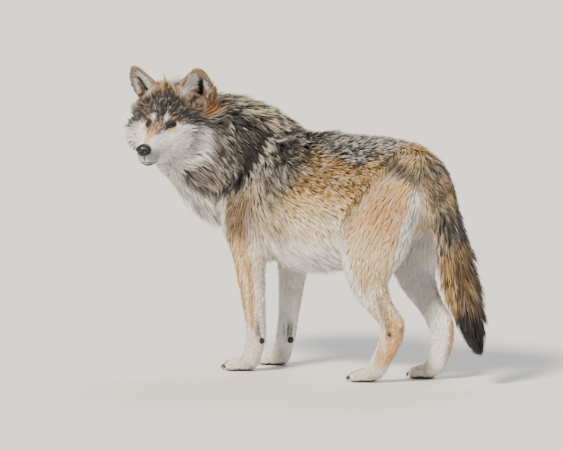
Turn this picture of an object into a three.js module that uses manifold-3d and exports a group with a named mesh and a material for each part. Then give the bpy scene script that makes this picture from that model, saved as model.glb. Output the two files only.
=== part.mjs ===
// A life-size grey wolf, standing on level ground and looking back over its left side.
//
// Millimetres. +X runs from the tail to the chest, +Y to the wolf's left, +Z up. The solids reach the
// outside of the coat. Each piece of the body is a loft: oval slices along a line of joints. Where two
// pieces meet, the deeper one is cut back from a copy of its neighbour that is one gap larger.
import * as THREE from "three";
import { mergeVertices } from "three/addons/utils/BufferGeometryUtils.js";
import Module from "manifold-3d";

const wasm = await Module();
wasm.setup();

// ---- Driving dimensions ----
const GAP = 0.45; // the thin cut between two pieces
const BACK = 665; // height of the back, coat included
const BELLY = 284; // height of the lowest belly fringe
const RIB_HALF = 140; // half the width over the ribs
const EYE_SPACING = 70; // between the centres of the eyeballs
const EYE_R = 12;
const EYES_AT = new THREE.Vector3(416, 210, 674); // the point midway between the eyes
const HEAD_TURN = 102; // degrees to the left of the body's own direction
const HEAD_NOD = 10; // degrees below level
const PAW_FORE = { length: 102, width: 78 };
const PAW_HIND = { length: 94, width: 71 };

const COATS = {
  saddle: { color: 0x8d8578, roughness: 0.85 },
  tan: { color: 0xb99668, roughness: 0.85 },
  cream: { color: 0xd8cdbb, roughness: 0.85 },
  mane: { color: 0x8b8072, roughness: 0.85 },
  tail: { color: 0xa18459, roughness: 0.85 },
  nose: { color: 0x1b1a1c, roughness: 0.35 },
  eye: { color: 0x4a3413, roughness: 0.08 },
  claw: { color: 0x201c19, roughness: 0.4 },
};

const UP = new THREE.Vector3(0, 0, 1);
const LEFT = new THREE.Vector3(0, 1, 0);
const VAST = 2000; // larger than the whole wolf
const rad = THREE.MathUtils.degToRad;

// ---- Solids ----

function solidFrom(points, triangles) {
  return new wasm.Manifold(
    new wasm.Mesh({
      numProp: 3,
      vertProperties: new Float32Array(points.flatMap((p) => [p.x, p.y, p.z])),
      triVerts: new Uint32Array(triangles.flat()),
    }),
  );
}

// A three.js geometry as a solid, placed by a matrix.
function solidOf(geometry, matrix = new THREE.Matrix4()) {
  const bare = geometry.clone().deleteAttribute("normal").deleteAttribute("uv").applyMatrix4(matrix);
  const merged = mergeVertices(bare, 1e-3);
  return new wasm.Manifold(
    new wasm.Mesh({
      numProp: 3,
      vertProperties: merged.attributes.position.array,
      triVerts: new Uint32Array(merged.index.array),
    }),
  );
}

// Where a boolean leaves loose crumbs, the largest body is the piece.
function largest(solid) {
  return solid.decompose().reduce((a, b) => (b.volume() > a.volume() ? b : a));
}

function joined(...solids) {
  return solids.reduce((a, b) => a.add(b));
}

function cutBack(solid, ...neighbours) {
  return largest(neighbours.reduce((a, b) => a.subtract(b), solid));
}

// A ring of points is closed by triangles that zigzag from its first point and its last to the middle.
function lid(n, first) {
  const triangles = [];
  for (let [low, high] = [0, n - 1]; high - low > 1; ) {
    const left = triangles.length % 2 === 0;
    triangles.push(left ? [low, low + 1, high] : [low, high - 1, high]);
    left ? low++ : high--;
  }
  return triangles.map((corners) => corners.map((i) => first + i));
}

// Rings of equal count become one closed skin.
function skin(rings) {
  const n = rings[0].length;
  const last = (rings.length - 1) * n;
  const triangles = [...lid(n, 0).map(([a, b, c]) => [a, c, b]), ...lid(n, last)];
  for (let k = 0; k < last; k += n)
    for (let i = 0; i < n; i++) {
      const [a, b] = [k + i, k + ((i + 1) % n)];
      triangles.push([a, b, b + n], [a, b + n, a + n]);
    }
  const solid = solidFrom(rings.flat(), triangles);
  return solid.volume() > 0 ? solid : solidFrom(rings.flat(), triangles.map(([a, b, c]) => [a, c, b]));
}

// Smooth value between the entries of a list, at place t from 0 to its last index.
function between(list, t) {
  const k = Math.min(Math.floor(t), list.length - 2);
  const at = (i) => list[THREE.MathUtils.clamp(i, 0, list.length - 1)];
  const [p, q, r, s, u] = [at(k - 1), at(k), at(k + 1), at(k + 2), t - k];
  return q + 0.5 * u * (r - p + u * (2 * p - 5 * q + 4 * r - s + u * (3 * (q - r) + s - p)));
}

// Which way is across a slice: to the wolf's left, or square to a line that turns in plan.
const levelAcross = () => LEFT.clone();
const turningAcross = (along) => UP.clone().cross(along);

// A loft along a line of joints. Each slice gives its place on the line (its joint's index and the share
// of the way to the next), its reach to the fore or upper side, its reach to the other side, half its
// width, and the roundness of each side: 2 is an ellipse, less is keener and more is squarer.
function loft(joints, slices, { sides, steps = 2, across = levelAcross, grow = 0 }) {
  const corners = joints.map((p) => new THREE.Vector3(...p));
  const line = new THREE.CatmullRomCurve3(corners, false, "centripetal");
  const column = (i, missing) => slices.map((s) => s[i] ?? missing);
  const [place, fore, aft, half] = [0, 1, 2, 3].map((i) => column(i));
  const [foreRound, aftRound] = [column(4, 2), column(5, 2)];
  const count = (slices.length - 1) * steps;
  const rings = Array.from({ length: count + 1 }, (_, k) => {
    const t = k / steps;
    const u = THREE.MathUtils.clamp(between(place, t) / (joints.length - 1), 0, 1);
    const [centre, along] = [line.getPoint(u), line.getTangent(u)];
    centre.addScaledVector(along, k === 0 ? -grow : k === count ? grow : 0);
    const side = across(along).addScaledVector(along, -across(along).dot(along)).normalize();
    const up = along.clone().cross(side).normalize();
    return Array.from({ length: sides }, (_, i) => {
      const turn = (2 * Math.PI * (i + 0.5)) / sides;
      const [c, s] = [Math.cos(turn), Math.sin(turn)];
      const round = 2 / between(s > 0 ? foreRound : aftRound, t);
      const reach = (between(s > 0 ? fore : aft, t) + grow) * Math.sign(s) * Math.abs(s) ** round;
      const width = (between(half, t) + grow) * Math.sign(c) * Math.abs(c) ** round;
      return centre.clone().addScaledVector(up, reach).addScaledVector(side, width);
    });
  });
  return skin(rings);
}

// A loft whose slices stand upright, one after another along X: each gives its distance forward, the
// level of its widest part, its top, its bottom, half its width and the roundness above and below.
function profileLoft(slices, options) {
  const joints = slices.map(([x, level]) => [x, 0, level]);
  const ovals = slices.map(([, level, top, bottom, half, ...round], i) => {
    return [i, top - level, level - bottom, half, ...round];
  });
  return loft(joints, ovals, options);
}

function ball(centre, radii, matrix = new THREE.Matrix4(), around = 12, down = 8) {
  const place = new THREE.Matrix4().makeTranslation(...centre).scale(new THREE.Vector3(...radii));
  return solidOf(new THREE.SphereGeometry(1, around, down), matrix.clone().multiply(place));
}

// ---- Trunk, neck and tail ----

// Distance forward, level of the widest part, top, bottom and half width, from the rump to the breast.
const TRUNK = [
  [-374, 545, 580, 500, 28],
  [-352, 538, 622, 452, 74],
  [-325, 532, 637, 426, 97],
  [-290, 526, 648, 404, 111],
  [-225, 515, BACK - 3, 374, 122],
  [-140, 500, BACK - 1, 341, 121],
  [-50, 482, BACK - 1, 302, 130],
  [45, 468, BACK + 1, BELLY, RIB_HALF],
  [135, 464, BACK - 6, BELLY + 4, RIB_HALF],
  [215, 468, 640, 300, 128],
  [270, 470, 616, 320, 111],
  [320, 466, 580, 346, 82],
  [358, 458, 520, 390, 42],
];

const trunkSolid = () => profileLoft(TRUNK, { sides: 20, steps: 1 });

const NECK_LINE = [
  [60, 0, 490],
  [145, 0, 530],
  [235, 0, 572],
  [312, 8, 606],
  [382, 30, 634],
  [446, 66, 656],
  [470, 122, 664],
];

const neckSolid = () =>
  loft(
    NECK_LINE,
    [
      [0.4, 90, 112, 76],
      [1, 136, 160, 98],
      [1.5, 148, 188, 110],
      [2, 153, 212, 120],
      [2.5, 152, 229, 121],
      [3, 147, 230, 117],
      [3.5, 139, 215, 112],
      [4, 128, 198, 108],
      [4.5, 116, 175, 102],
      [5, 96, 148, 88],
      [6, 50, 90, 50],
    ],
    { sides: 18, steps: 1, across: turningAcross },
  );

// The long fur of the throat, from under the chin back into the neck.
const THROAT_LINE = [
  [420, 222, 592],
  [413, 172, 586],
  [402, 118, 572],
  [385, 70, 560],
  [352, 30, 556],
];

const throatSolid = () =>
  loft(
    THROAT_LINE,
    [
      [0, 20, 26, 26],
      [1, 40, 60, 58],
      [2, 60, 86, 86],
      [3, 80, 108, 102],
      [4, 90, 120, 104],
    ],
    { sides: 14, across: turningAcross },
  );

// The plane between trunk and neck: a point on it and the way its normal points, forward and up.
const NECK_CUT = { through: [95, 0, 668], normal: [0.93, 0, 0.37] };

// The half of space on one side (1 ahead, -1 behind) of a plane, half a gap away from it.
function inFrontOf({ through, normal }, side) {
  const ahead = new THREE.Vector3(...normal).normalize().multiplyScalar(side);
  const turn = new THREE.Matrix4().makeRotationFromQuaternion(
    new THREE.Quaternion().setFromUnitVectors(UP, ahead),
  );
  const foot = new THREE.Vector3(...through).addScaledVector(ahead, GAP / 2);
  const place = new THREE.Matrix4().makeTranslation(foot).multiply(turn);
  const block = new THREE.BoxGeometry(VAST, VAST, VAST).translate(0, 0, VAST / 2);
  return solidOf(block, place);
}

const TAIL_LINE = [
  [-316, 0, 600],
  [-350, 0, 566],
  [-365, 0, 500],
  [-399, 0, 385],
  [-417, 0, 310],
  [-444, 0, 222],
  [-472, 0, 135],
  [-489, 0, 92],
];

const tailSolid = (grow = 0) =>
  loft(
    TAIL_LINE,
    [
      [0, 20, 20, 22],
      [1, 40, 37, 37],
      [2, 46, 45, 45],
      [3, 61, 62, 58],
      [4, 65, 64, 61],
      [5, 50, 52, 50],
      [6, 27, 27, 26],
      [7, 5, 5, 5],
    ],
    { sides: 12, grow },
  );

// ---- Legs ----

// Joints from the top of the limb to the paw. The hind line passes the hip, stifle, hock and cannon.
const LEGS = {
  foreleg_left: [
    [168, 62, 590], [216, 98, 450], [206, 91, 320],
    [197, 80, 190], [190, 77, 92], [210, 76, 22],
  ],
  foreleg_right: [
    [168, -62, 590], [207, -98, 450], [186, -89, 300],
    [187, -80, 190], [197, -76, 92], [212, -73, 22],
  ],
  hindleg_left: [
    [-300, 50, 610], [-275, 78, 520], [-219, 94, 400], [-190, 98, 296],
    [-214, 93, 222], [-262, 87, 164], [-249, 84, 104], [-200, 80, 22],
  ],
  hindleg_right: [
    [-300, -50, 610], [-280, -78, 520], [-232, -94, 400], [-212, -94, 296],
    [-254, -84, 222], [-309, -76, 150], [-318, -72, 100], [-292, -70, 22],
  ],
};

const FORE_SLICES = [
  [0, 34, 38, 16],
  [0.6, 64, 68, 34],
  [0.8, 74, 78, 44],
  [1, 79, 83, 50],
  [1.25, 73, 79, 49],
  [1.5, 63, 71, 44],
  [2, 50, 56, 39],
  [2.5, 42, 46, 33],
  [3, 36, 39, 29],
  [3.6, 31, 33, 26],
  [4, 31, 33, 27],
  [4.5, 28, 28, 27],
  [5, 28, 26, 30],
];

const HIND_SLICES = [
  [0, 40, 40, 14],
  [0.6, 80, 68, 26],
  [1, 98, 80, 43],
  [1.4, 112, 94, 54],
  [2, 122, 112, 55],
  [2.6, 96, 96, 51],
  [3, 76, 78, 45],
  [3.5, 57, 61, 38],
  [4, 45, 49, 31],
  [4.5, 36, 41, 27],
  [5, 40, 47, 27],
  [5.5, 35, 42, 26],
  [6, 31, 37, 25],
  [6.5, 29, 32, 27],
  [7, 28, 26, 28],
];

function legSolid(name, grow = 0) {
  const slices = name.startsWith("fore") ? FORE_SLICES : HIND_SLICES;
  return loft(LEGS[name], slices, { sides: 12, steps: 1, grow });
}

// ---- Paws and claws ----

// Ground place of each paw's middle and the way it points, in degrees to the wolf's left.
const PAWS = {
  foreleg_left: { x: 238, y: 76, turn: 9, size: PAW_FORE },
  foreleg_right: { x: 232, y: -73, turn: -9, size: PAW_FORE },
  hindleg_left: { x: -172, y: 80, turn: 6, size: PAW_HIND },
  hindleg_right: { x: -262, y: -70, turn: -6, size: PAW_HIND },
};

const groundMatrix = ({ x, y, turn }) =>
  new THREE.Matrix4().makeTranslation(x, y, 0).multiply(new THREE.Matrix4().makeRotationZ(rad(turn)));

// The four toes as shares of the paw's length and width: the two middle toes reach furthest.
const TOES = [
  { along: 0.15, across: -0.35 },
  { along: 0.29, across: -0.13 },
  { along: 0.29, across: 0.13 },
  { along: 0.15, across: 0.35 },
];

// Everything above the ground.
const ABOVE = inFrontOf({ through: [0, 0, -GAP / 2], normal: [0, 0, 1] }, 1);

function pawSolid(paw, grow = 0) {
  const { length, width } = paw.size;
  const at = groundMatrix(paw);
  const grown = (radii) => radii.map((r) => r + grow);
  const palm = ball([-0.08 * length, 0, 19], grown([0.4 * length, 0.43 * width, 22]), at, 10, 5);
  const toes = TOES.map(({ along, across }) => {
    return ball([along * length, across * width, 12], grown([0.22 * length, 0.155 * width, 15]), at, 7, 4);
  });
  return joined(palm, ...toes).intersect(grow ? ABOVE.translate([0, 0, -1]) : ABOVE);
}

// One claw: a short horn that leaves the end of its toe and curves down to the ground.
function clawSolid(paw, toe) {
  const start = (toe.along + 0.16) * paw.size.length;
  const side = toe.across * paw.size.width;
  const line = [
    [start, side, 15],
    [start + 11, side * 1.02, 13],
    [start + 20, side * 1.06, 2.5],
  ];
  const slices = [
    [0, 4.4, 4.4, 3.4],
    [1, 4.2, 4.2, 3.2],
    [2, 1, 1, 0.8],
  ];
  return loft(line, slices, { sides: 6, steps: 1 }).transform(groundMatrix(paw).elements);
}

// ---- Head ----

// The head's own frame: +X along the muzzle, +Y to its left, origin midway between the eyes.
const HEAD_FRAME = new THREE.Matrix4()
  .makeTranslation(EYES_AT)
  .multiply(new THREE.Matrix4().makeRotationZ(rad(HEAD_TURN)))
  .multiply(new THREE.Matrix4().makeRotationY(rad(HEAD_NOD)));
const inHead = (solid) => solid.transform(HEAD_FRAME.elements);

// The back of the skull with the cheeks and their ruff, and then the muzzle, each from back to front.
const SKULL = [
  [-178, -8, 20, -50, 30],
  [-168, -12, 50, -88, 62],
  [-152, -16, 78, -110, 88],
  [-130, -24, 98, -134, 112, 2, 1.9],
  [-106, -32, 96, -147, 126, 1.9, 1.9],
  [-78, -41, 80, -152, 131, 1.75, 1.8],
  [-50, -50, 58, -149, 127, 1.6, 1.7],
  [-26, -56, 40, -136, 101, 1.6, 1.7],
  [-4, -56, 23, -121, 74, 1.8, 1.8],
  [16, -55, 9, -110, 53, 1.9, 2],
  [36, -55, -4, -102, 38],
  [54, -56, -18, -92, 26],
];
const MUZZLE = [
  [-20, -50, 0, -105, 38],
  [6, -49, 5, -107, 41],
  [24, -49, 2, -107, 40.5, 2.1, 2],
  [46, -51, -4, -105, 37, 2.3, 2.1],
  [68, -53, -10, -102, 33, 2.4, 2.1],
  [90, -55, -16, -98, 29.5, 2.4, 2.1],
  [107, -57, -22, -91, 25, 2.3, 2.1],
  [118, -58, -34, -78, 13],
];

const skullSolid = (grow = 0) =>
  joined(
    profileLoft(SKULL, { sides: 22, grow, steps: 1 }),
    profileLoft(MUZZLE, { sides: 14, grow, steps: 1 }),
  );

const noseSolid = (grow = 0) =>
  loft(
    [
      [100, 0, -41],
      [114, 0, -41],
      [125, 0, -42],
      [131, 0, -44],
    ],
    [
      [0, 15, 14, 16],
      [1, 16.5, 16, 20, 2.4, 2.2],
      [2, 14, 15, 19, 2.4, 2],
      [3, 7, 8, 10],
    ],
    { sides: 10, steps: 1, grow },
  );

const nostrils = () =>
  joined(...[-1, 1].map((side) => ball([129, side * 9.5, -42], [7, 3.8, 3.4], undefined, 6, 4)));

// The lower jaw lies under this mouth line, as far back as the corner of the mouth.
const MOUTH = [[12, -93], [60, -86], [92, -80], [110, -72], [150, -67]];
const DEEP = -170; // lower than the chin
const JAW_SLAB = 200; // wider than the jaws

function jawRegion(grow = 0) {
  const raised = MOUTH.map(([x, z], i) => [i ? x : x - grow, z + grow]);
  const outline = [...raised, [150, DEEP], [MOUTH[0][0] - grow, DEEP]];
  const shape = new THREE.Shape(outline.map(([x, z]) => new THREE.Vector2(x, z)));
  const slab = new THREE.ExtrudeGeometry(shape, { depth: JAW_SLAB, bevelEnabled: false });
  return solidOf(slab.rotateX(Math.PI / 2).translate(0, JAW_SLAB / 2, 0));
}

const eyeSolid = (side, grow = 0) =>
  ball([-2, (side * EYE_SPACING) / 2, -2], Array(3).fill(EYE_R + grow), undefined, 10, 7);

// An ear is a cupped leaf: across each level runs a hollow curve, thick in the middle, thin at the rim.
const EAR = {
  base: [-112, 61, 0],
  tip: [-66, 96, 140],
  faces: [0.93, 0.34, 0.12],
  cup: 30,
  thick: 12,
};
const EAR_HALF_WIDTHS = [34, 42, 45.5, 47.5, 47.5, 42, 30, 13];

function earSolid(side, grow = 0) {
  const [base, tip] = [new THREE.Vector3(...EAR.base), new THREE.Vector3(...EAR.tip)];
  const rise = tip.clone().sub(base).normalize();
  const face = new THREE.Vector3(...EAR.faces);
  face.addScaledVector(rise, -face.dot(rise)).normalize();
  const across = rise.clone().cross(face);
  const levels = EAR_HALF_WIDTHS.length - 1;
  const spots = [-1, -0.7, -0.25, 0.25, 0.7, 1];
  const rings = EAR_HALF_WIDTHS.map((half, k) => {
    const share = k / levels;
    const centre = base.clone().lerp(tip, share);
    centre.addScaledVector(rise, k === 0 ? -grow : k === levels ? grow : 0);
    const hollow = EAR.cup * (1 - share) ** 0.8 * Math.min(1, 0.5 + 1.6 * share) + 1.5;
    const point = (s, back) => {
      const leather = EAR.thick * (1 - 0.55 * s * s) * (1 - 0.45 * share);
      const wall = back ? leather + 2 * grow : -2 * grow;
      return centre
        .clone()
        .addScaledVector(across, s * (half + grow))
        .addScaledVector(face, -hollow * (1 - s * s) - wall);
    };
    return [...spots.map((s) => point(s, false)), ...spots.toReversed().map((s) => point(s, true))];
  });
  const leaf = skin(rings);
  return side > 0 ? leaf : leaf.mirror([0, 1, 0]);
}

// ---- Putting the wolf together ----

const wolf = new THREE.Group();

function addNode(name, solid, coat) {
  const mesh = solid.getMesh();
  const geometry = new THREE.BufferGeometry()
    .setAttribute("position", new THREE.BufferAttribute(mesh.vertProperties, 3))
    .setIndex(new THREE.BufferAttribute(mesh.triVerts, 1));
  geometry.computeVertexNormals();
  const material = new THREE.MeshStandardMaterial({ ...COATS[coat], metalness: 0 });
  const node = new THREE.Mesh(geometry, material);
  node.name = name;
  wolf.add(node);
}

const legNames = Object.keys(LEGS);
const grownLegs = legNames.map((name) => legSolid(name, GAP));
const grownTail = tailSolid(GAP);
const grownSkull = inHead(skullSolid(GAP));
const grownEars = inHead(joined(earSolid(1, GAP), earSolid(-1, GAP)));

// Trunk and neck are one body, parted by a slanting cut from the withers down to the breast.
const neighbours = [grownSkull, grownEars, grownTail, ...grownLegs];
const torso = cutBack(joined(trunkSolid(), neckSolid(), throatSolid()), ...neighbours);
addNode("trunk", largest(torso.intersect(inFrontOf(NECK_CUT, -1))), "saddle");
addNode("neck", largest(torso.intersect(inFrontOf(NECK_CUT, 1))), "mane");
addNode("tail", tailSolid().subtract(joined(...grownLegs)), "tail");

for (const name of legNames) {
  const paw = PAWS[name];
  const grownPaw = pawSolid(paw, GAP);
  addNode(name, cutBack(legSolid(name), grownPaw), "tan");
  addNode(name.replace("leg", "paw"), pawSolid(paw), "cream");
  for (const [k, toe] of TOES.entries()) {
    const claw = cutBack(clawSolid(paw, toe), grownPaw).intersect(ABOVE);
    addNode(`${name.replace("leg", "claw")}_${k + 1}`, claw, "claw");
  }
}

const sides = { left: 1, right: -1 };
const grownParts = Object.values(sides).flatMap((side) => [eyeSolid(side, 0.35), earSolid(side, GAP)]);
const skull = cutBack(skullSolid(), noseSolid(GAP), ...grownParts);
addNode("head", inHead(cutBack(skull, jawRegion(GAP))), "cream");
addNode("lower_jaw", inHead(largest(skull.intersect(jawRegion()))), "cream");
addNode("nose", inHead(cutBack(noseSolid(), nostrils(), jawRegion(GAP))), "nose");
for (const [word, side] of Object.entries(sides)) {
  addNode(`eye_${word}`, inHead(eyeSolid(side)), "eye");
  addNode(`ear_${word}`, inHead(earSolid(side)), "mane");
}

// The origin is under the middle of the wolf's box, on the ground.
const box = new THREE.Box3().setFromObject(wolf);
const middle = box.getCenter(new THREE.Vector3());
wolf.position.set(-middle.x, -middle.y, -box.min.z);

export default wolf;
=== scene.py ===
# %% [markdown]
# # A grey wolf in Blender
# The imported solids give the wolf's outline out to the tips of its coat. Here a skin is made from them,
# and the coat, the face, the nose leather and the eyes are built on that skin. An animal like this is
# often sculpted by hand and given particle hair. Here every form is a short formula of its place on the
# body, so that a length or a colour can be changed in one line, and the hair is real mesh that any
# program can read.

import math

import bmesh
import bpy
import numpy as np
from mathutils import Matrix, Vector
from mathutils.bvhtree import BVHTree
from mathutils.kdtree import KDTree


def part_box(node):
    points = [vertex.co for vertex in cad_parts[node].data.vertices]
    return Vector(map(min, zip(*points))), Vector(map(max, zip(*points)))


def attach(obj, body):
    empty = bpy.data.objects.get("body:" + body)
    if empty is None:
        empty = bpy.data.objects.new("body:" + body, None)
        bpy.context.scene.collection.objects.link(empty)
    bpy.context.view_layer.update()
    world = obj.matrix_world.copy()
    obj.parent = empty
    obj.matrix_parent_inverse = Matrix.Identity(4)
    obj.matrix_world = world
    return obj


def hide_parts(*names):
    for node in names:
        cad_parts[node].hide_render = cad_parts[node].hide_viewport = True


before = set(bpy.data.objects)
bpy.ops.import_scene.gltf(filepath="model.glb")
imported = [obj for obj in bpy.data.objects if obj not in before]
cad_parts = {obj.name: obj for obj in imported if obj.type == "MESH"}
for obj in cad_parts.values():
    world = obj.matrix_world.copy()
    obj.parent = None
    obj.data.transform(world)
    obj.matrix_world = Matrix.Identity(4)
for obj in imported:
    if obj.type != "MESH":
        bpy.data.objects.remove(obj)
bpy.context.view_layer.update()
rng = np.random.default_rng(7)
print("solids:", len(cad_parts))

# %% [markdown]
# ## Two measuring frames
# A sculptor measures a body from its own middle line, and a head from between its eyes, because the
# head is turned. Places could all be given in the room's own axes, but then the two sides of the turned
# face would need different numbers. Both frames are found from the solids. Lengths in them are in
# millimetres.


# %% The body's frame and the head's frame
def middle(node):
    low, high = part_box(node)
    return np.array((low + high) / 2)


def unit(v):
    return v / np.maximum(np.linalg.norm(v, axis=-1, keepdims=True), 1e-12)


def soft(x, low, high):
    t = np.clip((x - low) / (high - low), 0, 1)
    return t * t * (3 - 2 * t)


EYE_L, EYE_R, NOSE = middle("eye_left"), middle("eye_right"), middle("nose")
EYES = (EYE_L + EYE_R) / 2
EYES_AHEAD = 0.4165  # metres from the body's origin forward to the eyes
BODY_ORIGIN = np.array([EYES[0] - EYES_AHEAD, middle("trunk")[1], 0.0])

head_left = unit(EYE_L - EYE_R)
to_nose = unit(NOSE - EYES - head_left * ((NOSE - EYES) @ head_left))
NOSE_DROP = math.radians(18.2)  # the nose lies this far below the head's own forward line
head_ahead = to_nose * math.cos(NOSE_DROP) + np.cross(to_nose, head_left) * math.sin(NOSE_DROP)
HEAD_AXES = np.stack([head_ahead, head_left, np.cross(head_ahead, head_left)])
BROW_POINT = np.array([2.0, 0.0, 2.0])  # the head's origin, a little ahead of the eyes and above them
HEAD_ORIGIN = EYES + (HEAD_AXES.T @ BROW_POINT) / 1000


def to_body(p):
    return (p - BODY_ORIGIN) * 1000


def from_body(q):
    return np.asarray(q, float) / 1000 + BODY_ORIGIN


def to_head(p):
    return (p - HEAD_ORIGIN) @ HEAD_AXES.T * 1000


def from_head(q):
    return HEAD_ORIGIN + np.asarray(q, float) @ HEAD_AXES / 1000


def head_vector(v):
    """A direction in the head's frame, in the room's axes."""
    return np.asarray(v, float) @ HEAD_AXES


def head_to_body(q):
    return to_body(from_head(q))


print("nose in the head's frame, mm:", to_head(NOSE).round(1))

# %% [markdown]
# ## Camera, floor and light
# A long lens from far off flattens the animal as a wildlife lens does. The floor is plain and pale. The
# lamps could be area lights close by, but the light would then fall off along the body. Very distant
# large ones light nose and tail alike and leave no hard shadow, so the coat's own colours can be judged.

# %% Camera
CAMERA_TURN = math.radians(35)
CAMERA_LIFT = math.radians(6.5)
CAMERA_AWAY = 24.0  # metres
VIEW_WIDTH = 563 / 370  # metres across the picture at the wolf
LEFT_FOREPAW = [231, 70, 0]
AIM_RIGHT, AIM_UP, AIM_BACK = 0.0986, 0.3946, 0.15  # metres from that paw to the middle of the view

look = Vector(
    (
        math.sin(CAMERA_TURN) * math.cos(CAMERA_LIFT),
        -math.cos(CAMERA_TURN) * math.cos(CAMERA_LIFT),
        -math.sin(CAMERA_LIFT),
    )
)
right = look.cross(Vector((0, 0, 1))).normalized()
up = right.cross(look)
aim = Vector(from_body(LEFT_FOREPAW)) + AIM_RIGHT * right + AIM_UP * up - AIM_BACK * look

camera = bpy.data.objects.new("camera", bpy.data.cameras.new("camera"))
bpy.context.scene.collection.objects.link(camera)
camera.location = aim - look * CAMERA_AWAY
camera.rotation_euler = look.to_track_quat("-Z", "Y").to_euler()
camera.data.lens = camera.data.sensor_width * CAMERA_AWAY / VIEW_WIDTH
camera.data.clip_end = 200  # metres, well past the wolf
bpy.context.scene.camera = camera
print("lens, mm:", round(camera.data.lens))


# %% [markdown]
# ## Colours, floor and lamps
# Colours are written as on a screen and turned to linear light by one function. Another adds a node with
# its settings and links, so that a material reads as a short list. The floor is matt studio paint.

# %% Colours and nodes
def linear(hex_colour):
    """An sRGB hex colour as linear red, green and blue."""
    parts = [int(hex_colour[i : i + 2], 16) / 255 for i in (1, 3, 5)]
    return np.array([v / 12.92 if v <= 0.04045 else ((v + 0.055) / 1.055) ** 2.4 for v in parts])


def add_node(material, kind, settings=(), links=()):
    """Adds a shader node: settings are attributes or socket values, links are (socket, output)."""
    node = material.node_tree.nodes.new(kind)
    for name, value in dict(settings).items():
        if hasattr(node, name):
            setattr(node, name, value)
        else:
            node.inputs[name].default_value = value
    for name, output in dict(links).items():
        material.node_tree.links.new(node.inputs[name], output)
    return node


def new_material(name):
    material = bpy.data.materials.new(name)
    material.use_nodes = True
    material.node_tree.nodes.clear()
    return material


def finish_material(material, shader):
    output = add_node(material, "ShaderNodeOutputMaterial")
    material.node_tree.links.new(output.inputs["Surface"], shader.outputs["BSDF"])
    return material


print("mid grey, linear:", linear("#808080").round(3))


# %% The floor
def floor_material():
    """Matt studio paint, rolled on: almost even, with patches a third of a metre across."""
    material = new_material("pale_studio_floor")
    place = add_node(material, "ShaderNodeTexCoord")
    grain = add_node(
        material,
        "ShaderNodeTexNoise",
        {"Scale": 3.0, "Detail": 4.0},
        {"Vector": place.outputs["Object"]},
    )
    ramp = add_node(material, "ShaderNodeValToRGB", {}, {"Fac": grain.outputs["Fac"]})
    ramp.color_ramp.elements[0].color = (*linear("#d6d3cd"), 1)
    ramp.color_ramp.elements[1].color = (*linear("#dcd9d3"), 1)
    paint = add_node(
        material,
        "ShaderNodeBsdfPrincipled",
        {"Roughness": 0.9},
        {"Base Color": ramp.outputs["Color"]},
    )
    return finish_material(material, paint)


floor_mesh = bpy.data.meshes.new("floor")
FLOOR_HALF = 60.0  # metres
corners = [(-1, -1), (1, -1), (1, 1), (-1, 1)]
floor_mesh.from_pydata([(FLOOR_HALF * a, FLOOR_HALF * b, 0) for a, b in corners], [], [(0, 1, 2, 3)])
floor = bpy.data.objects.new("floor", floor_mesh)
floor_mesh.materials.append(floor_material())
bpy.context.scene.collection.objects.link(floor)
print("floor, metres across:", 2 * FLOOR_HALF)


# %% Lamps
def lamp(name, towards, strength, spread, colour):
    """A very large, distant soft box: an even light with soft shadows."""
    data = bpy.data.lights.new(name, "SUN")
    data.angle = math.radians(spread)
    data.energy = strength
    data.color = linear(colour)
    item = bpy.data.objects.new(name, data)
    bpy.context.scene.collection.objects.link(item)
    item.rotation_euler = (-Vector(towards)).to_track_quat("-Z", "Y").to_euler()


# Where each lamp stands, as steps toward the camera, right and up; its strength, its spread in degrees
# and its colour.
LAMPS = {
    "key": ((0.66, -0.45, 0.62), 6.6, 14, "#fff2e0"),
    "fill": ((0.5, 1.0, 0.4), 0.8, 60, "#dfe9ff"),
    "rim": ((-1.0, 0.3, 1.3), 1.6, 30, "#ffffff"),
}
for name, ((near, across, above), strength, spread, colour) in LAMPS.items():
    lamp(name, -look * near + right * across + up * above, strength, spread, colour)

world = bpy.data.worlds.new("studio")
bpy.context.scene.world = world
world.use_nodes = True
sky = world.node_tree.nodes["Background"]
sky.inputs["Color"].default_value = (*linear("#dfe4ec"), 1)
sky.inputs["Strength"].default_value = 0.7
print("lamps:", *LAMPS)

# %% [markdown]
# ## The lines of the body
# Hair lies along the body: back from the nose, along the neck and trunk, down the legs and the tail.
# So the body is described by lines of joints that run the way the hair lies. Each joint says how far
# the coat's tips are from the line, how deep the coat is, how long the hair and how wide a lock. Depth
# and length could be painted on by hand, but a few numbers for each joint blend by themselves over a
# shoulder or a cheek.


# %% The lines
def coat_line(joints, reach, depth, length, width, axes=(1, 2), in_head=False):
    """Joints in millimetres, with the coat's measures at each; axes are those across the line."""
    points = np.array(joints, float)
    return {
        "joints": head_to_body(points) if in_head else points,
        "reach": reach,
        "depth": depth,
        "length": length,
        "width": width,
        "axes": axes,
    }


def mirrored(joints):
    return [(x, -y, z) for x, y, z in joints]


MUZZLE = [(126, 0, -50), (95, 0, -58), (55, 0, -56), (15, 0, -54)]
SKULL = [(5, 0, -46), (-40, 0, -45), (-90, 0, -40), (-135, 0, -34)]
EAR_LEFT = [(-110, 63, 5), (-90, 78, 70), (-66, 96, 140)]
THROAT = [(420, 222, 592), (413, 172, 586), (402, 118, 572), (385, 70, 560), (352, 30, 556)]
NECK = [(470, 122, 664), (446, 66, 656), (382, 30, 634), (312, 8, 606), (235, 0, 572), (150, 0, 530)]
TRUNK = [(225, 0, 470), (135, 0, 464), (45, 0, 468), (-50, 0, 482)]
TRUNK += [(-140, 0, 500), (-225, 0, 515), (-290, 0, 526), (-340, 0, 535)]
TAIL = [(-316, 0, 600), (-350, 0, 566), (-365, 0, 500), (-399, 0, 385)]
TAIL += [(-417, 0, 310), (-444, 0, 222), (-472, 0, 135), (-489, 0, 92)]
FORE_LEFT = [(168, 62, 590), (216, 98, 450), (206, 91, 320)]
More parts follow.
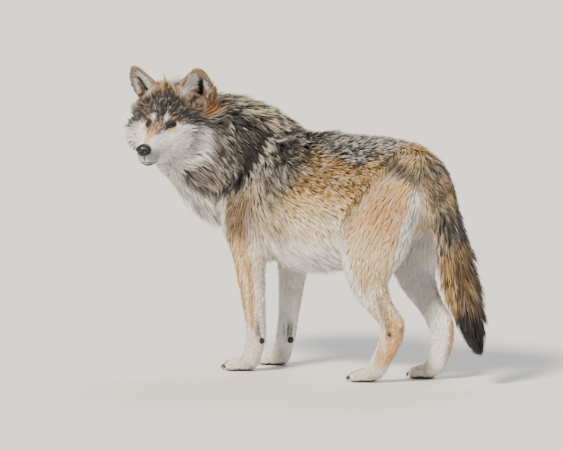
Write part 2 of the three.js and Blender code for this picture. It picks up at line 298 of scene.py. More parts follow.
FORE_LEFT += [(197, 80, 190), (190, 77, 92), (206, 76, 34)]
FORE_RIGHT = [(168, -62, 590), (207, -98, 450), (186, -89, 300)]
FORE_RIGHT += [(187, -80, 190), (197, -76, 92), (208, -73, 34)]
HIND_LEFT = [(-300, 50, 610), (-275, 78, 520), (-219, 94, 400), (-190, 98, 296)]
HIND_LEFT += [(-214, 93, 222), (-262, 87, 164), (-249, 84, 104), (-206, 80, 34)]
HIND_RIGHT = [(-300, -50, 610), (-280, -78, 520), (-232, -94, 400), (-212, -94, 296)]
HIND_RIGHT += [(-254, -84, 222), (-309, -76, 150), (-318, -72, 100), (-296, -70, 34)]
# Each paw: the place of its middle, its turn in degrees to the left, and its length.
PAWS = {"fore_left": (238, 76, 9, 102), "fore_right": (232, -73, -9, 102)}
PAWS |= {"hind_left": (-172, 80, 6, 94), "hind_right": (-262, -70, -6, 94)}
PAW_JOINTS = ((-0.3, 30), (0.1, 20), (0.42, 10))  # share of the length from the middle, and height


def paw_joints(x, y, turn, length):
    c, s = math.cos(math.radians(turn)), math.sin(math.radians(turn))
    return [(x + k * length * c, y + k * length * s, z) for k, z in PAW_JOINTS]


print("paws:", *PAWS)

# %% The coat along the lines
# For each line: the reach, depth and length at each joint, then the width of a strand of hair.
MUZZLE_COAT = ([16, 27, 38, 46], [0.8, 1.2, 2.0, 4.0], [4.5, 6, 8, 12], 0.6)
SKULL_COAT = ([70, 105, 118, 112], [6, 16, 27, 30], [11, 18, 44, 58], 0.85)
EAR_COAT = ([52, 48, 22], [5, 0.9, 0.5], [34, 10, 7], 0.8)
THROAT_COAT = ([30, 60, 86, 105, 110], [8, 22, 30, 33, 33], [26, 50, 64, 72, 72], 1.7)
NECK_COAT = ([80, 125, 150, 172, 180, 160], [30, 33, 34, 34, 32, 30], [60, 70, 74, 74, 70, 64], 1.7)
TRUNK_COAT = (
    [140, 165, 165, 155, 145, 135, 115, 85],
    [29, 27, 25, 23, 22, 21, 20, 17],
    [58, 52, 44, 40, 38, 38, 40, 42],
    1.2,
)
TAIL_COAT = (
    [38, 38, 46, 62, 65, 51, 27, 9],
    [14, 15, 21, 34, 37, 29, 14, 3],
    [50, 52, 60, 76, 86, 84, 72, 52],
    1.7,
)
FORE_COAT = ([45, 80, 60, 40, 33, 31], [14, 15, 10, 6, 4.5, 3.5], [44, 38, 24, 16, 13, 11], 1.0)
HIND_COAT = (
    [50, 88, 105, 75, 47, 42, 33, 30],
    [17, 17, 16, 12, 8, 6, 4.5, 3.5],
    [42, 38, 34, 26, 18, 15, 13, 11],
    1.1,
)
PAW_COAT = ([32, 33, 24], [3.2, 2.6, 1.6], [13, 12, 7], 0.8)
UPRIGHT = (1, 0)  # the axes across a line that runs down
LINES = {
    "muzzle": coat_line(MUZZLE, *MUZZLE_COAT, in_head=True),
    "skull": coat_line(SKULL, *SKULL_COAT, in_head=True),
    "ear_left": coat_line(EAR_LEFT, *EAR_COAT, in_head=True),
    "ear_right": coat_line(mirrored(EAR_LEFT), *EAR_COAT, in_head=True),
    "throat": coat_line(THROAT, *THROAT_COAT),
    "neck": coat_line(NECK, *NECK_COAT),
    "trunk": coat_line(TRUNK, *TRUNK_COAT),
    "tail": coat_line(TAIL, *TAIL_COAT, UPRIGHT),
    "fore_left": coat_line(FORE_LEFT, *FORE_COAT, UPRIGHT),
    "fore_right": coat_line(FORE_RIGHT, *FORE_COAT, UPRIGHT),
    "hind_left": coat_line(HIND_LEFT, *HIND_COAT, UPRIGHT),
    "hind_right": coat_line(HIND_RIGHT, *HIND_COAT, UPRIGHT),
}
for paw_name, paw in PAWS.items():
    LINES["paw_" + paw_name] = coat_line(paw_joints(*paw), *PAW_COAT)
LINE_NAMES = list(LINES)


# %% [markdown]
# ### How near a place is to each line
# A shoulder belongs to the trunk, the neck and the foreleg at once. Each line's share falls off softly
# past its reach, and the shares add up to one, so that no border shows in the coat.

# %% Nearness to the lines
FALL_OFF = 7  # how fast a line's share fades past its reach


def nearest_on(points, joints):
    """For each point, its distance to a line of joints and the nearest place, counted in joints."""
    best = np.full(len(points), 1e9)
    place = np.zeros(len(points))
    for k, (a, b) in enumerate(zip(joints[:-1], joints[1:])):
        t = np.clip((points - a) @ (b - a) / ((b - a) @ (b - a)), 0, 1)
        gap = np.linalg.norm(points - a - t[:, None] * (b - a), axis=1)
        near = gap < best
        best[near] = gap[near]
        place[near] = k + t[near]
    return best, place


def along(line, key, place):
    return np.interp(place, np.arange(len(line["joints"])), line[key])


def direction_at(line, place):
    steps = unit(np.gradient(line["joints"], axis=0))
    return np.stack([np.interp(place, np.arange(len(steps)), steps[:, c]) for c in range(3)], 1)


def read_lines(points):
    """The share each line has in a point, and the coat's measures there, blended over the lines."""
    weights, places = [], []
    values = {"depth": 0, "length": 0, "width": 0, "lie": 0}
    for line in LINES.values():
        gap, place = nearest_on(points, line["joints"])
        weights.append(np.exp(-FALL_OFF * (gap / along(line, "reach", place)) ** 2))
        places.append(place)
    weights = np.stack(weights, 1)
    weights /= weights.sum(1, keepdims=True)
    for k, line in enumerate(LINES.values()):
        share = weights[:, k]
        values["depth"] += share * along(line, "depth", places[k])
        values["length"] += share * along(line, "length", places[k])
        values["width"] += share * line["width"]
        values["lie"] += share[:, None] * direction_at(line, places[k])
    return weights, values


def share_of(weights, *names):
    return sum(weights[:, LINE_NAMES.index(n)] for n in names)


print("coat at the nose's tip, mm:", read_lines(to_body(NOSE[None]))[1]["depth"].round(1))

# %% [markdown]
# ## The skin
# Under the coat is one skin. The solids could be joined by cutting them against each other, but that
# leaves slivers along every cut. Instead they are copied, let into each other by about half a millimetre
# and remade as one even net.

# %% Reading and writing a mesh's points
SKIN_STEP = 0.0034  # metres between the net's points
LET_IN = 0.0006  # metres that each solid grows, which closes the thin gaps between them
WELD = 2e-5  # metres between points that are one
FLESH = [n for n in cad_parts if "claw" not in n and n != "nose"]


def mesh_object(name, mesh):
    item = bpy.data.objects.new(name, mesh)
    bpy.context.scene.collection.objects.link(item)
    return item


def welded_copy(names, grow):
    """One mesh of several solids, each a little larger, with its facets' points joined."""
    whole = bmesh.new()
    for name in names:
        whole.from_mesh(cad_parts[name].data)
    bmesh.ops.remove_doubles(whole, verts=whole.verts, dist=WELD)
    whole.normal_update()
    for v in whole.verts:
        v.co += v.normal * grow
    mesh = bpy.data.meshes.new("flesh")
    whole.to_mesh(mesh)
    whole.free()
    return mesh


def remeshed(mesh, step):
    item = mesh_object("remesh", mesh)
    change = item.modifiers.new("net", "REMESH")
    change.mode = "VOXEL"
    change.voxel_size = step
    evaluated = item.evaluated_get(bpy.context.evaluated_depsgraph_get())
    done = bpy.data.meshes.new_from_object(evaluated)
    bpy.data.objects.remove(item)
    return done


def get_points(mesh):
    co = np.empty(len(mesh.vertices) * 3, np.float32)
    mesh.vertices.foreach_get("co", co)
    return co.reshape(-1, 3).astype(float)


def set_points(mesh, points):
    mesh.vertices.foreach_set("co", points.astype(np.float32).ravel())
    mesh.update()


def get_normals(mesh):
    n = np.empty(len(mesh.vertices) * 3, np.float32)
    mesh.vertex_normals.foreach_get("vector", n)
    return n.reshape(-1, 3).astype(float)


def get_edges(mesh):
    e = np.empty(len(mesh.edges) * 2, np.int32)
    mesh.edges.foreach_get("vertices", e)
    return e.reshape(-1, 2)


print("solids of flesh:", len(FLESH))


# %% One net from the solids of flesh
def neighbour_mean(values, edges, count):
    total = np.empty_like(values)
    for c in range(values.shape[1]):
        total[:, c] = np.bincount(edges[:, 0], values[edges[:, 1], c], len(values))
        total[:, c] += np.bincount(edges[:, 1], values[edges[:, 0], c], len(values))
    return total / count[:, None]


def relaxed(values, edges, rounds, strength):
    """Values at the net's points, each drawn toward its neighbours again and again."""
    count = np.maximum(np.bincount(edges.ravel(), minlength=len(values)), 1)
    for _ in range(rounds):
        values = values + strength * (neighbour_mean(values, edges, count) - values)
    return values


skin_mesh = remeshed(welded_copy(FLESH, LET_IN), SKIN_STEP)
points = get_points(skin_mesh)
edges = get_edges(skin_mesh)
print("skin points:", len(points))

# %% [markdown]
# ### Smooth and sink
# Smoothing takes the facets away, least on the muzzle, the ears and the paws, where they are the form.
# Then every point sinks by the coat's depth there, which leaves the room that the hair will fill.

# %% Smooth, then sink by the coat's depth
weights, coat = read_lines(to_body(points))
face = share_of(weights, "muzzle")
paws = share_of(weights, *[n for n in LINE_NAMES if n.startswith("paw_")])
ears = share_of(weights, "ear_left", "ear_right")
legs = share_of(weights, "fore_left", "fore_right", "hind_left", "hind_right")
firm = np.clip(face * 0.8 + paws * 0.9 + ears * 0.9, 0, 1)
softness = np.clip(1 - firm - 0.6 * legs, 0.04, 1)[:, None] * 0.6
first_pass = 0.35 * np.clip(1 - paws - ears, 0.1, 1)[:, None]  # paws and ears keep their shape
points = relaxed(points, edges, 24, first_pass)
points = relaxed(points, edges, 40, softness)
outer_points = points.copy()
set_points(skin_mesh, points)
smooth_normals = unit(relaxed(get_normals(skin_mesh), edges, 8, 0.5))
points = points - smooth_normals * coat["depth"][:, None] / 1000
points = relaxed(points, edges, 6, softness)
set_points(skin_mesh, points)
print("coat depth, mm:", coat["depth"].min().round(1), "to", coat["depth"].max().round(1))

# %% [markdown]
# ## Paws
# A wolf's foot has four toes with raised knuckles, and the two middle ones reach furthest forward. Each
# toe could be a solid of its own, but the short hair runs from one to the next without a seam. So the
# one skin is raised at the knuckles and pressed in between the toes.

# %% Toes
TOES = [(0.15, -0.35), (0.29, -0.13), (0.29, 0.13), (0.15, 0.35)]  # shares of a paw's length and width
PAW_WIDTH = 0.76  # of its length
KNUCKLE_HALF = [17.0, 7.5, 13.0]
KNUCKLE_RISE, FURROW_DEPTH, FURROW_HALF = 5.0, 5.5, 3.0
SOLE = 0.0006  # metres that the skin stays above the floor


def in_paw(body, x, y, turn):
    c, s = math.cos(math.radians(turn)), math.sin(math.radians(turn))
    q = body - np.array([x, y, 0.0])
    return np.stack([q[:, 0] * c + q[:, 1] * s, q[:, 1] * c - q[:, 0] * s, q[:, 2]], 1)


def from_paw(q, x, y, turn):
    c, s = math.cos(math.radians(turn)), math.sin(math.radians(turn))
    return np.stack([x + q[:, 0] * c - q[:, 1] * s, y + q[:, 0] * s + q[:, 1] * c, q[:, 2]], 1)


def toe_forms(body):
    """How much each place belongs to a knuckle, and how much to a furrow between two toes."""
    knuckle, furrow = np.zeros(len(body)), np.zeros(len(body))
    for x, y, turn, length in PAWS.values():
        q = in_paw(body, x, y, turn)
        here = (np.abs(q[:, 0]) < 0.62 * length) & (np.abs(q[:, 1]) < 0.6 * length)
        here = here & (q[:, 2] < 45)
        for run, side in TOES:
            centre = np.array([(run + 0.02) * length, side * PAW_WIDTH * length, 20.0])
            knuckle += here * np.exp(-(((q - centre) / KNUCKLE_HALF) ** 2).sum(1))
        for side in (-0.24, 0.0, 0.24):
            gap = np.abs(q[:, 1] - side * PAW_WIDTH * length * (0.9 + 0.3 * q[:, 0] / length))
            furrow += here * np.exp(-((gap / FURROW_HALF) ** 2)) * soft(q[:, 0], 0.0, 0.16 * length)
    return knuckle, furrow


normals = unit(relaxed(get_normals(skin_mesh), edges, 3, 0.5))
knuckle, furrow = toe_forms(to_body(points))
push = KNUCKLE_RISE * knuckle - FURROW_DEPTH * furrow
points = points + normals * (push / 1000)[:, None]
points[:, 2] = np.maximum(points[:, 2], SOLE)
set_points(skin_mesh, points)
print("toes:", len(TOES) * len(PAWS))

# %% [markdown]
# ## The face
# Short hair hides little here, so the skin itself gets the brows, the stop, the cheekbones, the whisker
# pads and the mouth. Sculpting by hand would do it too. Here each is a soft swelling or hollow pushed
# along the skin's normal, so that both sides match and each can be tuned by its own three numbers.


# %% Swellings and hollows
def both_sides(h):
    return np.stack([h[:, 0], np.abs(h[:, 1]), h[:, 2]], 1)


FACE_FORMS = [  # centre, half sizes and height in millimetres, on both sides
    ((4, 36, 18), (17, 17, 8), 3.6),  # brow
    ((-18, 62, -24), (28, 20, 16), 3.0),  # cheekbone
    ((26, 32, -24), (18, 12, 11), -2.6),  # hollow below the eye
    ((20, 0, 8), (22, 11, 14), -2.4),  # stop
    ((-38, 0, 50), (42, 8, 26), -2.6),  # forehead's furrow
    ((98, 25, -66), (20, 12, 14), 2.6),  # whisker pad
    ((112, 0, -60), (10, 4, 14), -1.4),  # furrow below the nose
    ((96, 0, -98), (16, 12, 9), 1.6),  # chin
    ((-42, 82, 16), (26, 20, 16), -2.4),  # temple
    ((-66, 20, 84), (34, 30, 30), 7.0),  # crown
    ((60, 20, -10), (34, 7, 8), 1.2),  # bridge's edge
]
MOUTH = [(8, 46, -93), (36, 40, -90), (77, 29, -87), (102, 21, -84), (114, 13, -82), (120, 0, -80)]
MOUTH = np.array(MOUTH, float)
MOUTH_DEPTH, MOUTH_HALF = 2.2, 3.2

normals = unit(relaxed(get_normals(skin_mesh), edges, 3, 0.5))
face_points = both_sides(to_head(points))
for centre, radii, amount in FACE_FORMS:
    far = (((face_points - np.array(centre)) / np.array(radii)) ** 2).sum(1)
    points = points + normals * (amount / 1000 * np.exp(-far))[:, None]
gap, _ = nearest_on(face_points, MOUTH)
points = points - normals * (MOUTH_DEPTH / 1000 * np.exp(-((gap / MOUTH_HALF) ** 2)))[:, None]
set_points(skin_mesh, points)
print("face forms:", len(FACE_FORMS))


# %% [markdown]
# ## Eyes and lids
# A wolf's eye is a globe about 26 mm across, set so that its front just reaches the face, and in the sun
# the lids narrow over it. The lids could be pulled out of the skin's own net, but its points are too far
# apart for a rim one millimetre thick. So the skin sinks below the globe, and a ring of lid with its own
# finer net is laid over it: a rounded rim round an almond opening that blends into the skin further out.


# %% Where the eyes sit
def get_faces(mesh):
    corners_now = np.empty(len(mesh.loops), np.int32)
    mesh.loops.foreach_get("vertex_index", corners_now)
    return corners_now.reshape(-1, 4)


skin_quads = get_faces(skin_mesh)
near_head = (np.abs(to_head(points)) < [130, 90, 110]).all(1)
head_quads = skin_quads[near_head[skin_quads].all(1)]
surface = BVHTree.FromPolygons([Vector(q) for q in points], head_quads.tolist())

EYE_RADIUS = 13.0
OPEN_HALF = 13.5  # half the length of the opening between the lids
LID_UP, LID_DOWN = 3.0, 2.7  # how far each lid is open from the line between the corners
INNER_CORNER, OUTER_CORNER = np.array([10.0, 24.5, -5.0]), np.array([-4.0, 54.0, 7.0])


class Eye:
    """One eye's own frame: u runs along the opening to the outer corner, v up, g out of the face."""

    def __init__(self, side):
        flip = np.array([1, side, 1])
        inner, outer = from_head(INNER_CORNER * flip), from_head(OUTER_CORNER * flip)
        middle_point = (inner + outer) / 2
        seat = surface.find_nearest(Vector(middle_point))
        self.g = unit(np.array(seat[1]) + 0.9 * head_vector([0.72, 0.62 * side, 0.22]))
        self.u = unit((outer - inner) - self.g * ((outer - inner) @ self.g))
        self.v = np.cross(self.g, self.u) * side
        self.side = side
        self.seat = np.array(seat[0])
        self.centre = self.seat - self.g * (EYE_RADIUS - 1.0) / 1000

    def flat(self, p):
        q = (p - self.seat) * 1000
        return q @ self.u, q @ self.v, q @ self.g

    def point(self, u, v, h):
        q = np.multiply.outer(u, self.u) + np.multiply.outer(v, self.v) + np.multiply.outer(h, self.g)
        return self.seat + q / 1000

    def skin_height(self, u, v):
        """The height of the face over the eye's seat, looked up along g."""
        out = []
        for q in self.point(u, v, np.full(len(u), 30.0)):
            hit = surface.ray_cast(Vector(q), Vector(-self.g), 0.06)
            out.append(-30 if hit[0] is None else (np.array(hit[0]) - self.seat) @ self.g * 1000)
        return np.array(out)

    def globe_height(self, u, v):
        r2 = u**2 + v**2
        dome = np.sqrt(np.maximum(EYE_RADIUS**2 - r2, 0)) - EYE_RADIUS + 1.0
        return np.where(r2 < EYE_RADIUS**2, dome, -EYE_RADIUS)


def opening_gap(u, v):
    """How far a place is outside the opening between the lids."""
    reach = np.maximum(np.abs(u) - 0.62 * OPEN_HALF, 0)
    return np.hypot(reach, v) - 0.38 * OPEN_HALF * 0.8


eyes = [Eye(1), Eye(-1)]
print("eyes at, mm in the head's frame:", [to_head(e.centre).round(1).tolist() for e in eyes])


# %% [markdown]
# ### The rings of lid
# Rows of points run from just inside the opening, over the rounded rim, out to the skin. The
# outermost row runs under the skin, so the hair hides the seam.

# %% The lids
LID_SPOKES = 64
LID_ROWS = [  # distance outside the opening, height over the globe, height over the skin
    (-0.4, -0.3, -3.5),
    (0.0, 0.8, -1.6),
    (0.5, 1.8, -0.2),
    (1.4, 2.4, 0.5),
    (2.8, 2.3, 0.7),
    (4.6, 1.4, 0.5),
    (7.0, 0.8, 0.2),
    (10.0, 0.0, -0.3),
    (13.0, -2.0, -1.6),
]


def lid_ring(eye):
    """Rows of points round the opening, from the rim out to below the skin."""
    turn = np.arange(LID_SPOKES) / LID_SPOKES * 2 * math.pi
    c, s = np.cos(turn), np.sin(turn)
    rim_u = OPEN_HALF * c
    rim_v = np.where(s > 0, LID_UP, LID_DOWN) * np.sign(s) * np.abs(s) ** 1.35 + 1.2 * c * s**2
    out_u, out_v = c * 0.8, s
    norm = np.hypot(out_u, out_v)
    rows = []
    for far, over_globe, over_skin in LID_ROWS:
        u, v = rim_u + far * out_u / norm, rim_v + far * out_v / norm
        high = np.maximum(eye.globe_height(u, v) + over_globe, eye.skin_height(u, v) + over_skin)
        rows.append(eye.point(u, v, high))
    return np.concatenate(rows)


def ring_quads(rows, spokes, first):
    quads = []
    for r in range(rows - 1):
        for k in range(spokes):
            a, b = r * spokes + k, r * spokes + (k + 1) % spokes
            quads.append([first + a, first + b, first + b + spokes, first + a + spokes])
    return quads


def mesh_from(name, points_now, quads):
    mesh = bpy.data.meshes.new(name)
    mesh.vertices.add(len(points_now))
    mesh.vertices.foreach_set("co", points_now.astype(np.float32).ravel())
    quads = np.asarray(quads, np.int32)
    mesh.loops.add(quads.size)
    mesh.loops.foreach_set("vertex_index", quads.ravel())
    mesh.polygons.add(len(quads))
    mesh.polygons.foreach_set("loop_start", np.arange(0, quads.size, 4, dtype=np.int32))
    mesh.polygons.foreach_set("use_smooth", np.ones(len(quads), bool))
    mesh.update(calc_edges=True)
    return mesh


rings, ring_faces, first = [], [], len(points)
for eye in eyes:
    ring = lid_ring(eye)
    quads = np.array(ring_quads(len(LID_ROWS), LID_SPOKES, first))
    ring_faces.append(quads if eye.side > 0 else quads[:, ::-1])
    rings.append(ring)
    first += len(ring)

sunk = np.zeros(len(points))
for eye in eyes:
    u, v, h = eye.flat(points)
    close = 1 - soft(opening_gap(u, v), 4.0, 8.5)
    r = np.hypot(u, v)
    close *= (np.abs(h) < 25) & (r < 40)
    below_globe = np.where(r < EYE_RADIUS, eye.globe_height(u, v) - 2.0, h - 4.5)
    floor_height = np.minimum(h - 2.5, below_globe)
    points = points + eye.g * ((floor_height - h) * close / 1000)[:, None]
    sunk = np.maximum(sunk, close)

# No hair grows on the sunk skin, on the lids' rims or on the hidden outermost row.
BARE_ROWS = 4
bald = np.concatenate([soft(sunk, 0.02, 0.3), np.zeros(sum(len(r) for r in rings))])
one_lid = np.repeat(np.arange(len(LID_ROWS)), LID_SPOKES)
lid_row = np.concatenate([np.full(len(points), 99), one_lid, one_lid])
bald[lid_row < BARE_ROWS] = 1.0
bald[lid_row == len(LID_ROWS) - 1] = 1.0
lid_coat = read_lines(to_body(np.concatenate(rings)))[1]
coat = {k: np.concatenate([v, lid_coat[k]]) for k, v in coat.items()}
outer_points = np.concatenate([outer_points] + rings)
points = np.concatenate([points] + rings)
skin_mesh = mesh_from("skin", points, np.concatenate([skin_quads] + ring_faces))
edges = get_edges(skin_mesh)
print("skin and lids:", len(points), "points")

# %% [markdown]
# ## The lie of the coat
# On the head hair runs out from the nose in all directions. Elsewhere it follows the lines, and where a
# line points straight into the skin, on the breast and the rump, it hangs down. It could be combed by
# hand, guide by guide. A rule for each part of the body is shorter, and the directions are then spread
# over the net, so that they turn smoothly from one rule to the next.

# %% Which way the hair lies
normals = unit(relaxed(get_normals(skin_mesh), edges, 3, 0.5))
body_points = to_body(points)
head_points = to_head(points)
weights, _ = read_lines(to_body(outer_points))
UP = np.array([0.0, 0.0, 1.0])
NOSE_ROOT = np.array([122.0, 0.0, -46.0])

head_share = share_of(weights, "muzzle", "skull")
trunk_share = share_of(weights, "trunk")
neck_share = share_of(weights, "neck", "throat")
outward = unit(head_points - NOSE_ROOT)
outward[:, 2] -= 0.25 * (head_points[:, 0] < -20)
lie = coat["lie"].copy()
lie = lie * (1 - head_share[:, None]) + head_vector(outward) * head_share[:, None]
sideways = np.abs(normals[:, 1])
low = 1 - soft(body_points[:, 2], 380, 470)
down = trunk_share * ((0.42 + 0.7 * low) * sideways + 0.9 * np.abs(normals[:, 0]))
down += neck_share * (0.3 * sideways + 0.5 * np.maximum(normals[:, 0], 0))
lie = lie - UP * down[:, None]


def laid_flat(directions):
    return unit(directions - normals * (directions * normals).sum(1, keepdims=True))


for _ in range(3):
    lie = laid_flat(relaxed(laid_flat(lie), edges, 12, 0.5))
print("lie of the hair at", len(lie), "points")

# %% [markdown]
# ## The markings
# A grey wolf's hairs are banded: a pale hair with a dark tip over a dull underfur. Where many tips are
# black, as on the saddle, the coat looks grizzled. The markings could be painted on an image, but then
# each lock would need its place on that image. Here they are layers of formulas that work in the body's
# own millimetres. They say, for each place, the hair's main colour, its tip's colour and what share of
# the locks have black or white tips.


# %% Tools for painting
def blob(p, centre, radii, edge=0.5):
    """1 inside an oval of these half sizes, falling to 0 outside it."""
    r = np.linalg.norm((p - np.array(centre)) / np.array(radii), axis=1)
    return 1 - soft(r, 1 - edge, 1 + edge)


def streak(p, a, b, half, edge=0.6):
    gap, _ = nearest_on(p, np.array([a, b], float))
    return 1 - soft(gap / half, 1 - edge, 1 + edge)


def lattice(ijk, seed):
    """A steady random number from 0 to 1 at each whole-number place."""
    n = ijk[:, 0] * 374761393 + ijk[:, 1] * 668265263 + ijk[:, 2] * 2147483647 + seed * 974634777
    n = (n ^ (n >> 13)) * 1274126177
    return ((n ^ (n >> 16)) & 0xFFFF) / 0xFFFF


def mottle(p, size, seed):
    """Smooth noise from 0 to 1 with patches of about this size, in millimetres."""
    q = p / size + 1000.0
    base = np.floor(q).astype(np.int64)
    f = q - base
    f = f * f * (3 - 2 * f)
    total = np.zeros(len(p))
    for corner in range(8):
        pick = np.array([(corner >> k) & 1 for k in range(3)])
        share = np.prod(np.where(pick, f, 1 - f), axis=1)
        total += share * lattice(base + pick, seed)
    return total


PALETTE = {
    "white": "#f8f5f0",
    "frost": "#dcd7cc",
    "cream": "#ecdcb4",
    "ivory": "#eae0d0",
    "pale_gold": "#e6ca8a",
    "gold": "#d2a861",
    "tan": "#cd9b5a",
    "orange": "#bd7c3a",
    "pink_tan": "#dfb97f",
    "fawn": "#8f7049",
    "brown": "#634830",
    "grizzle": "#8d8376",
    "grey": "#605d5a",
    "slate": "#383533",
    "charcoal": "#211f1e",
    "black": "#121111",
}
PAINTS = {name: linear(value) for name, value in PALETTE.items()}


class Coat:
    """The colours of one place after another, painted in layers."""

    def __init__(self, count):
        self.main = np.tile(PAINTS["grizzle"], (count, 1))
        self.tip = np.tile(PAINTS["grizzle"], (count, 1))
        self.dark = np.zeros(count)
        self.pale = np.zeros(count)

    def paint(self, mask, main, tip=None, dark=0.0, pale=0.0):
        m = mask[:, None]
        self.main = self.main * (1 - m) + PAINTS[main] * m
        self.tip = self.tip * (1 - m) + PAINTS[tip or main] * m
        self.dark = self.dark * (1 - mask) + dark * mask
        self.pale = self.pale * (1 - mask) + pale * mask


def streaks(p, forward, across, long, seed):
    """Noise drawn out along a direction in the body's side view, wide across it."""
    forward = unit(np.array(forward, float))
    q = p.copy()
    run = p[:, [0, 2]] @ forward
    side = p[:, [0, 2]] @ np.array([-forward[1], forward[0]])
    q[:, 0], q[:, 2], q[:, 1] = run * across / long, side, p[:, 1] * 0.5
    return mottle(q, across, seed)


print("colours of hair:", len(PAINTS))

# %% [markdown]
# ### Where the body's markings run
# The saddle's lower edge is given as places in the side view, from the rump forward. The others are
# paths on the body. The crease behind the shoulder's ruff, where the coat parts, is painted black as
# shade.


# %% Paths of the markings
SADDLE_EDGE = [(-348, 539), (-297, 578), (-251, 602), (-210, 590), (-163, 562), (-93, 580)]
SADDLE_EDGE += [(-36, 596), (28, 615), (85, 610), (118, 573), (165, 530)]
# Painted shadow: the black line along the crease behind the ruff, where the coat parts.
CREASE_SHADOW = [(160, 79, 655), (168, 98, 613), (184, 109, 575), (204, 118, 537), (217, 123, 512)]
CREASE_EDGE = [(138, 79, 642), (146, 98, 602), (162, 109, 562), (182, 118, 524)]
NECK_SHADE = [(256, 78, 702), (215, 88, 664), (193, 101, 628), (196, 108, 596)]
TAIL_DARK = [(-368, 30, 570), (-385, 36, 510), (-412, 40, 440)]
HIP_BAND = [(-251, 90, 604), (-297, 94, 580), (-350, 77, 541)]
THIGH_EDGE = [(-106, 120, 415), (-125, 128, 360), (-150, 135, 306), (-175, 130, 252), (-198, 121, 215)]
SEAT = [(-338, 100, 515), (-342, 88, 430), (-328, 100, 360)]


def band(p, path, half, edge=0.5):
    """1 along a path on both sides of the body, falling to 0 at its edges."""
    gap, _ = nearest_on(both_sides(p), np.array(path, float))
    return 1 - soft(gap / half, 1 - edge, 1 + edge)


def side_band(p, path, half, edge=0.5):
    """The same for a path drawn on the side view, however far out the coat is."""
    flat = np.array(path, float) * [1, 0, 1]
    gap, _ = nearest_on(p * [1, 0, 1], flat)
    return (1 - soft(gap / half, 1 - edge, 1 + edge)) * soft(np.abs(p[:, 1]), 40, 60)


print("saddle's edge, mm:", min(SADDLE_EDGE), "to", max(SADDLE_EDGE))

# %% [markdown]
# ### Saddle, flanks, neck and throat
# Layers go on from the lightest and widest to the darkest and smallest: pale belly and golden flank, the
# grizzled saddle over them, then the dark shoulder and neck, and last the white throat and chest. Drawn
# out noise breaks the dark parts into locks of light and shade.


# %% Paint the body
def paint_body(c, p, n, w):
    x, y, z = p.T
    s = both_sides(p)
    wave = 20 * (mottle(p, 60, 3) - 0.5) + 16 * (mottle(p, 22, 4) - 0.5)
    height = z + wave
    trunk, neck, throat = share_of(w, "trunk"), share_of(w, "neck"), share_of(w, "throat")
    hind = share_of(w, "hind_left", "hind_right") * soft(z, 440, 520)
    back = np.clip(trunk + neck + hind, 0, 1)
    fore_trunk, collar = np.clip(trunk + neck, 0, 1), np.clip(throat + neck, 0, 1)
    c.paint(trunk, "gold", "fawn", 0.42, 0.35)
    c.paint(trunk * (1 - soft(height, 500, 550)), "gold", "gold", 0.24, 0.3)
    c.paint(trunk * (1 - soft(height, 470, 505)), "pale_gold", "pale_gold", 0.0, 0.2)
    c.paint(trunk * (1 - soft(height, 415, 465)), "cream", "cream", 0.0, 0.45)
    c.paint(trunk * (1 - soft(height, 345, 385)), "white", "white", 0.02)
    edge_x, edge_z = np.array(sorted(SADDLE_EDGE)).T
    over = height - np.interp(x, edge_x, edge_z)
    c.paint(soft(over, -36, 8) * back, "gold", "gold", 0.5, 0.4)
    c.paint(soft(over, 2, 38) * back, "grey", "frost", 0.48, 0.2)
    # Painted light: more white tips along the top of the back, for the light along it, over the saddle's
    # own grizzle.
    c.paint(soft(z, 618, 655) * trunk * (1 - soft(x, 40, 110)), "grizzle", "white", 0.32, 0.55)
    c.paint(blob(p, (-312, 0, 622), (60, 110, 50)) * back, "gold", "pink_tan", 0.2, 0.3)
    lined = streaks(p, (-0.5, 0.86), 15, 90, 11)
    shoulder = soft(x, 95, 145) * (1 - soft(x, 205, 240)) * soft(height, 470, 530) * fore_trunk
    c.paint(shoulder, "slate", "grey", 0.62)
    c.paint(shoulder * soft(lined, 0.6, 0.75), "grey", "frost", 0.4)
    c.paint(shoulder * (1 - soft(lined, 0.2, 0.4)), "slate", "charcoal", 0.7)
    front = blob(s, (190, 138, 452), (48, 60, 62), 0.45)
    ruff = streaks(p, (-0.45, 0.89), 17, 110, 12)
    c.paint(neck, "slate", "grizzle", 0.72)
    c.paint(neck * (1 - soft(ruff, 0.3, 0.55)), "charcoal", "charcoal", 0.85)
    c.paint(neck * soft(ruff, 0.72, 0.86), "grey", "frost", 0.45)
    # The nape: its own paler hair, and painted light where the neck faces up.
    nape_with_top_light = soft(n[:, 2], 0.45, 0.85) * soft(z, 610, 690)
    c.paint(neck * nape_with_top_light, "grey", "cream", 0.48, 0.18)
    lower = collar * (1 - soft(height, 540, 600))
    c.paint(lower, "grey", "grizzle", 0.25, 0.2)
    c.paint(lower * (1 - soft(ruff, 0.25, 0.5)), "brown", "grey", 0.5)
    c.paint(front * fore_trunk, "brown", "brown", 0.42, 0.12)
    c.paint(throat * soft(height, 520, 570), "white", "frost", 0.04)
    under = soft(n[:, 0] * 0.75 + n[:, 1] * 0.1 - n[:, 2] * 0.65, 0.2, 0.55)
    c.paint(collar * under, "white", "white")
    chest = collar * under * (1 - soft(z, 485, 520))
    c.paint(chest * (1 - soft(ruff, 0.4, 0.62)) * 0.85, "grizzle", "frost", 0.15)
    gullet = soft(x + y, 505, 545) * (1 - soft(z, 560, 600)) * collar
    c.paint(gullet * 0.85, "white", "frost", 0.05)
    c.paint(trunk * under * soft(x, 180, 230), "white", "white")


print("body painted up to z", round(body_points[:, 2].max()), "mm")

# %% [markdown]
# ### Legs and paws
# The legs are white on the inside and cream outside, with a tan wash in fine upright streaks, and
# painted shadow darkens the elbow. The furrows between the toes are darkened as painted shade, and the
# spots over the wrist pads and the heels are dark.


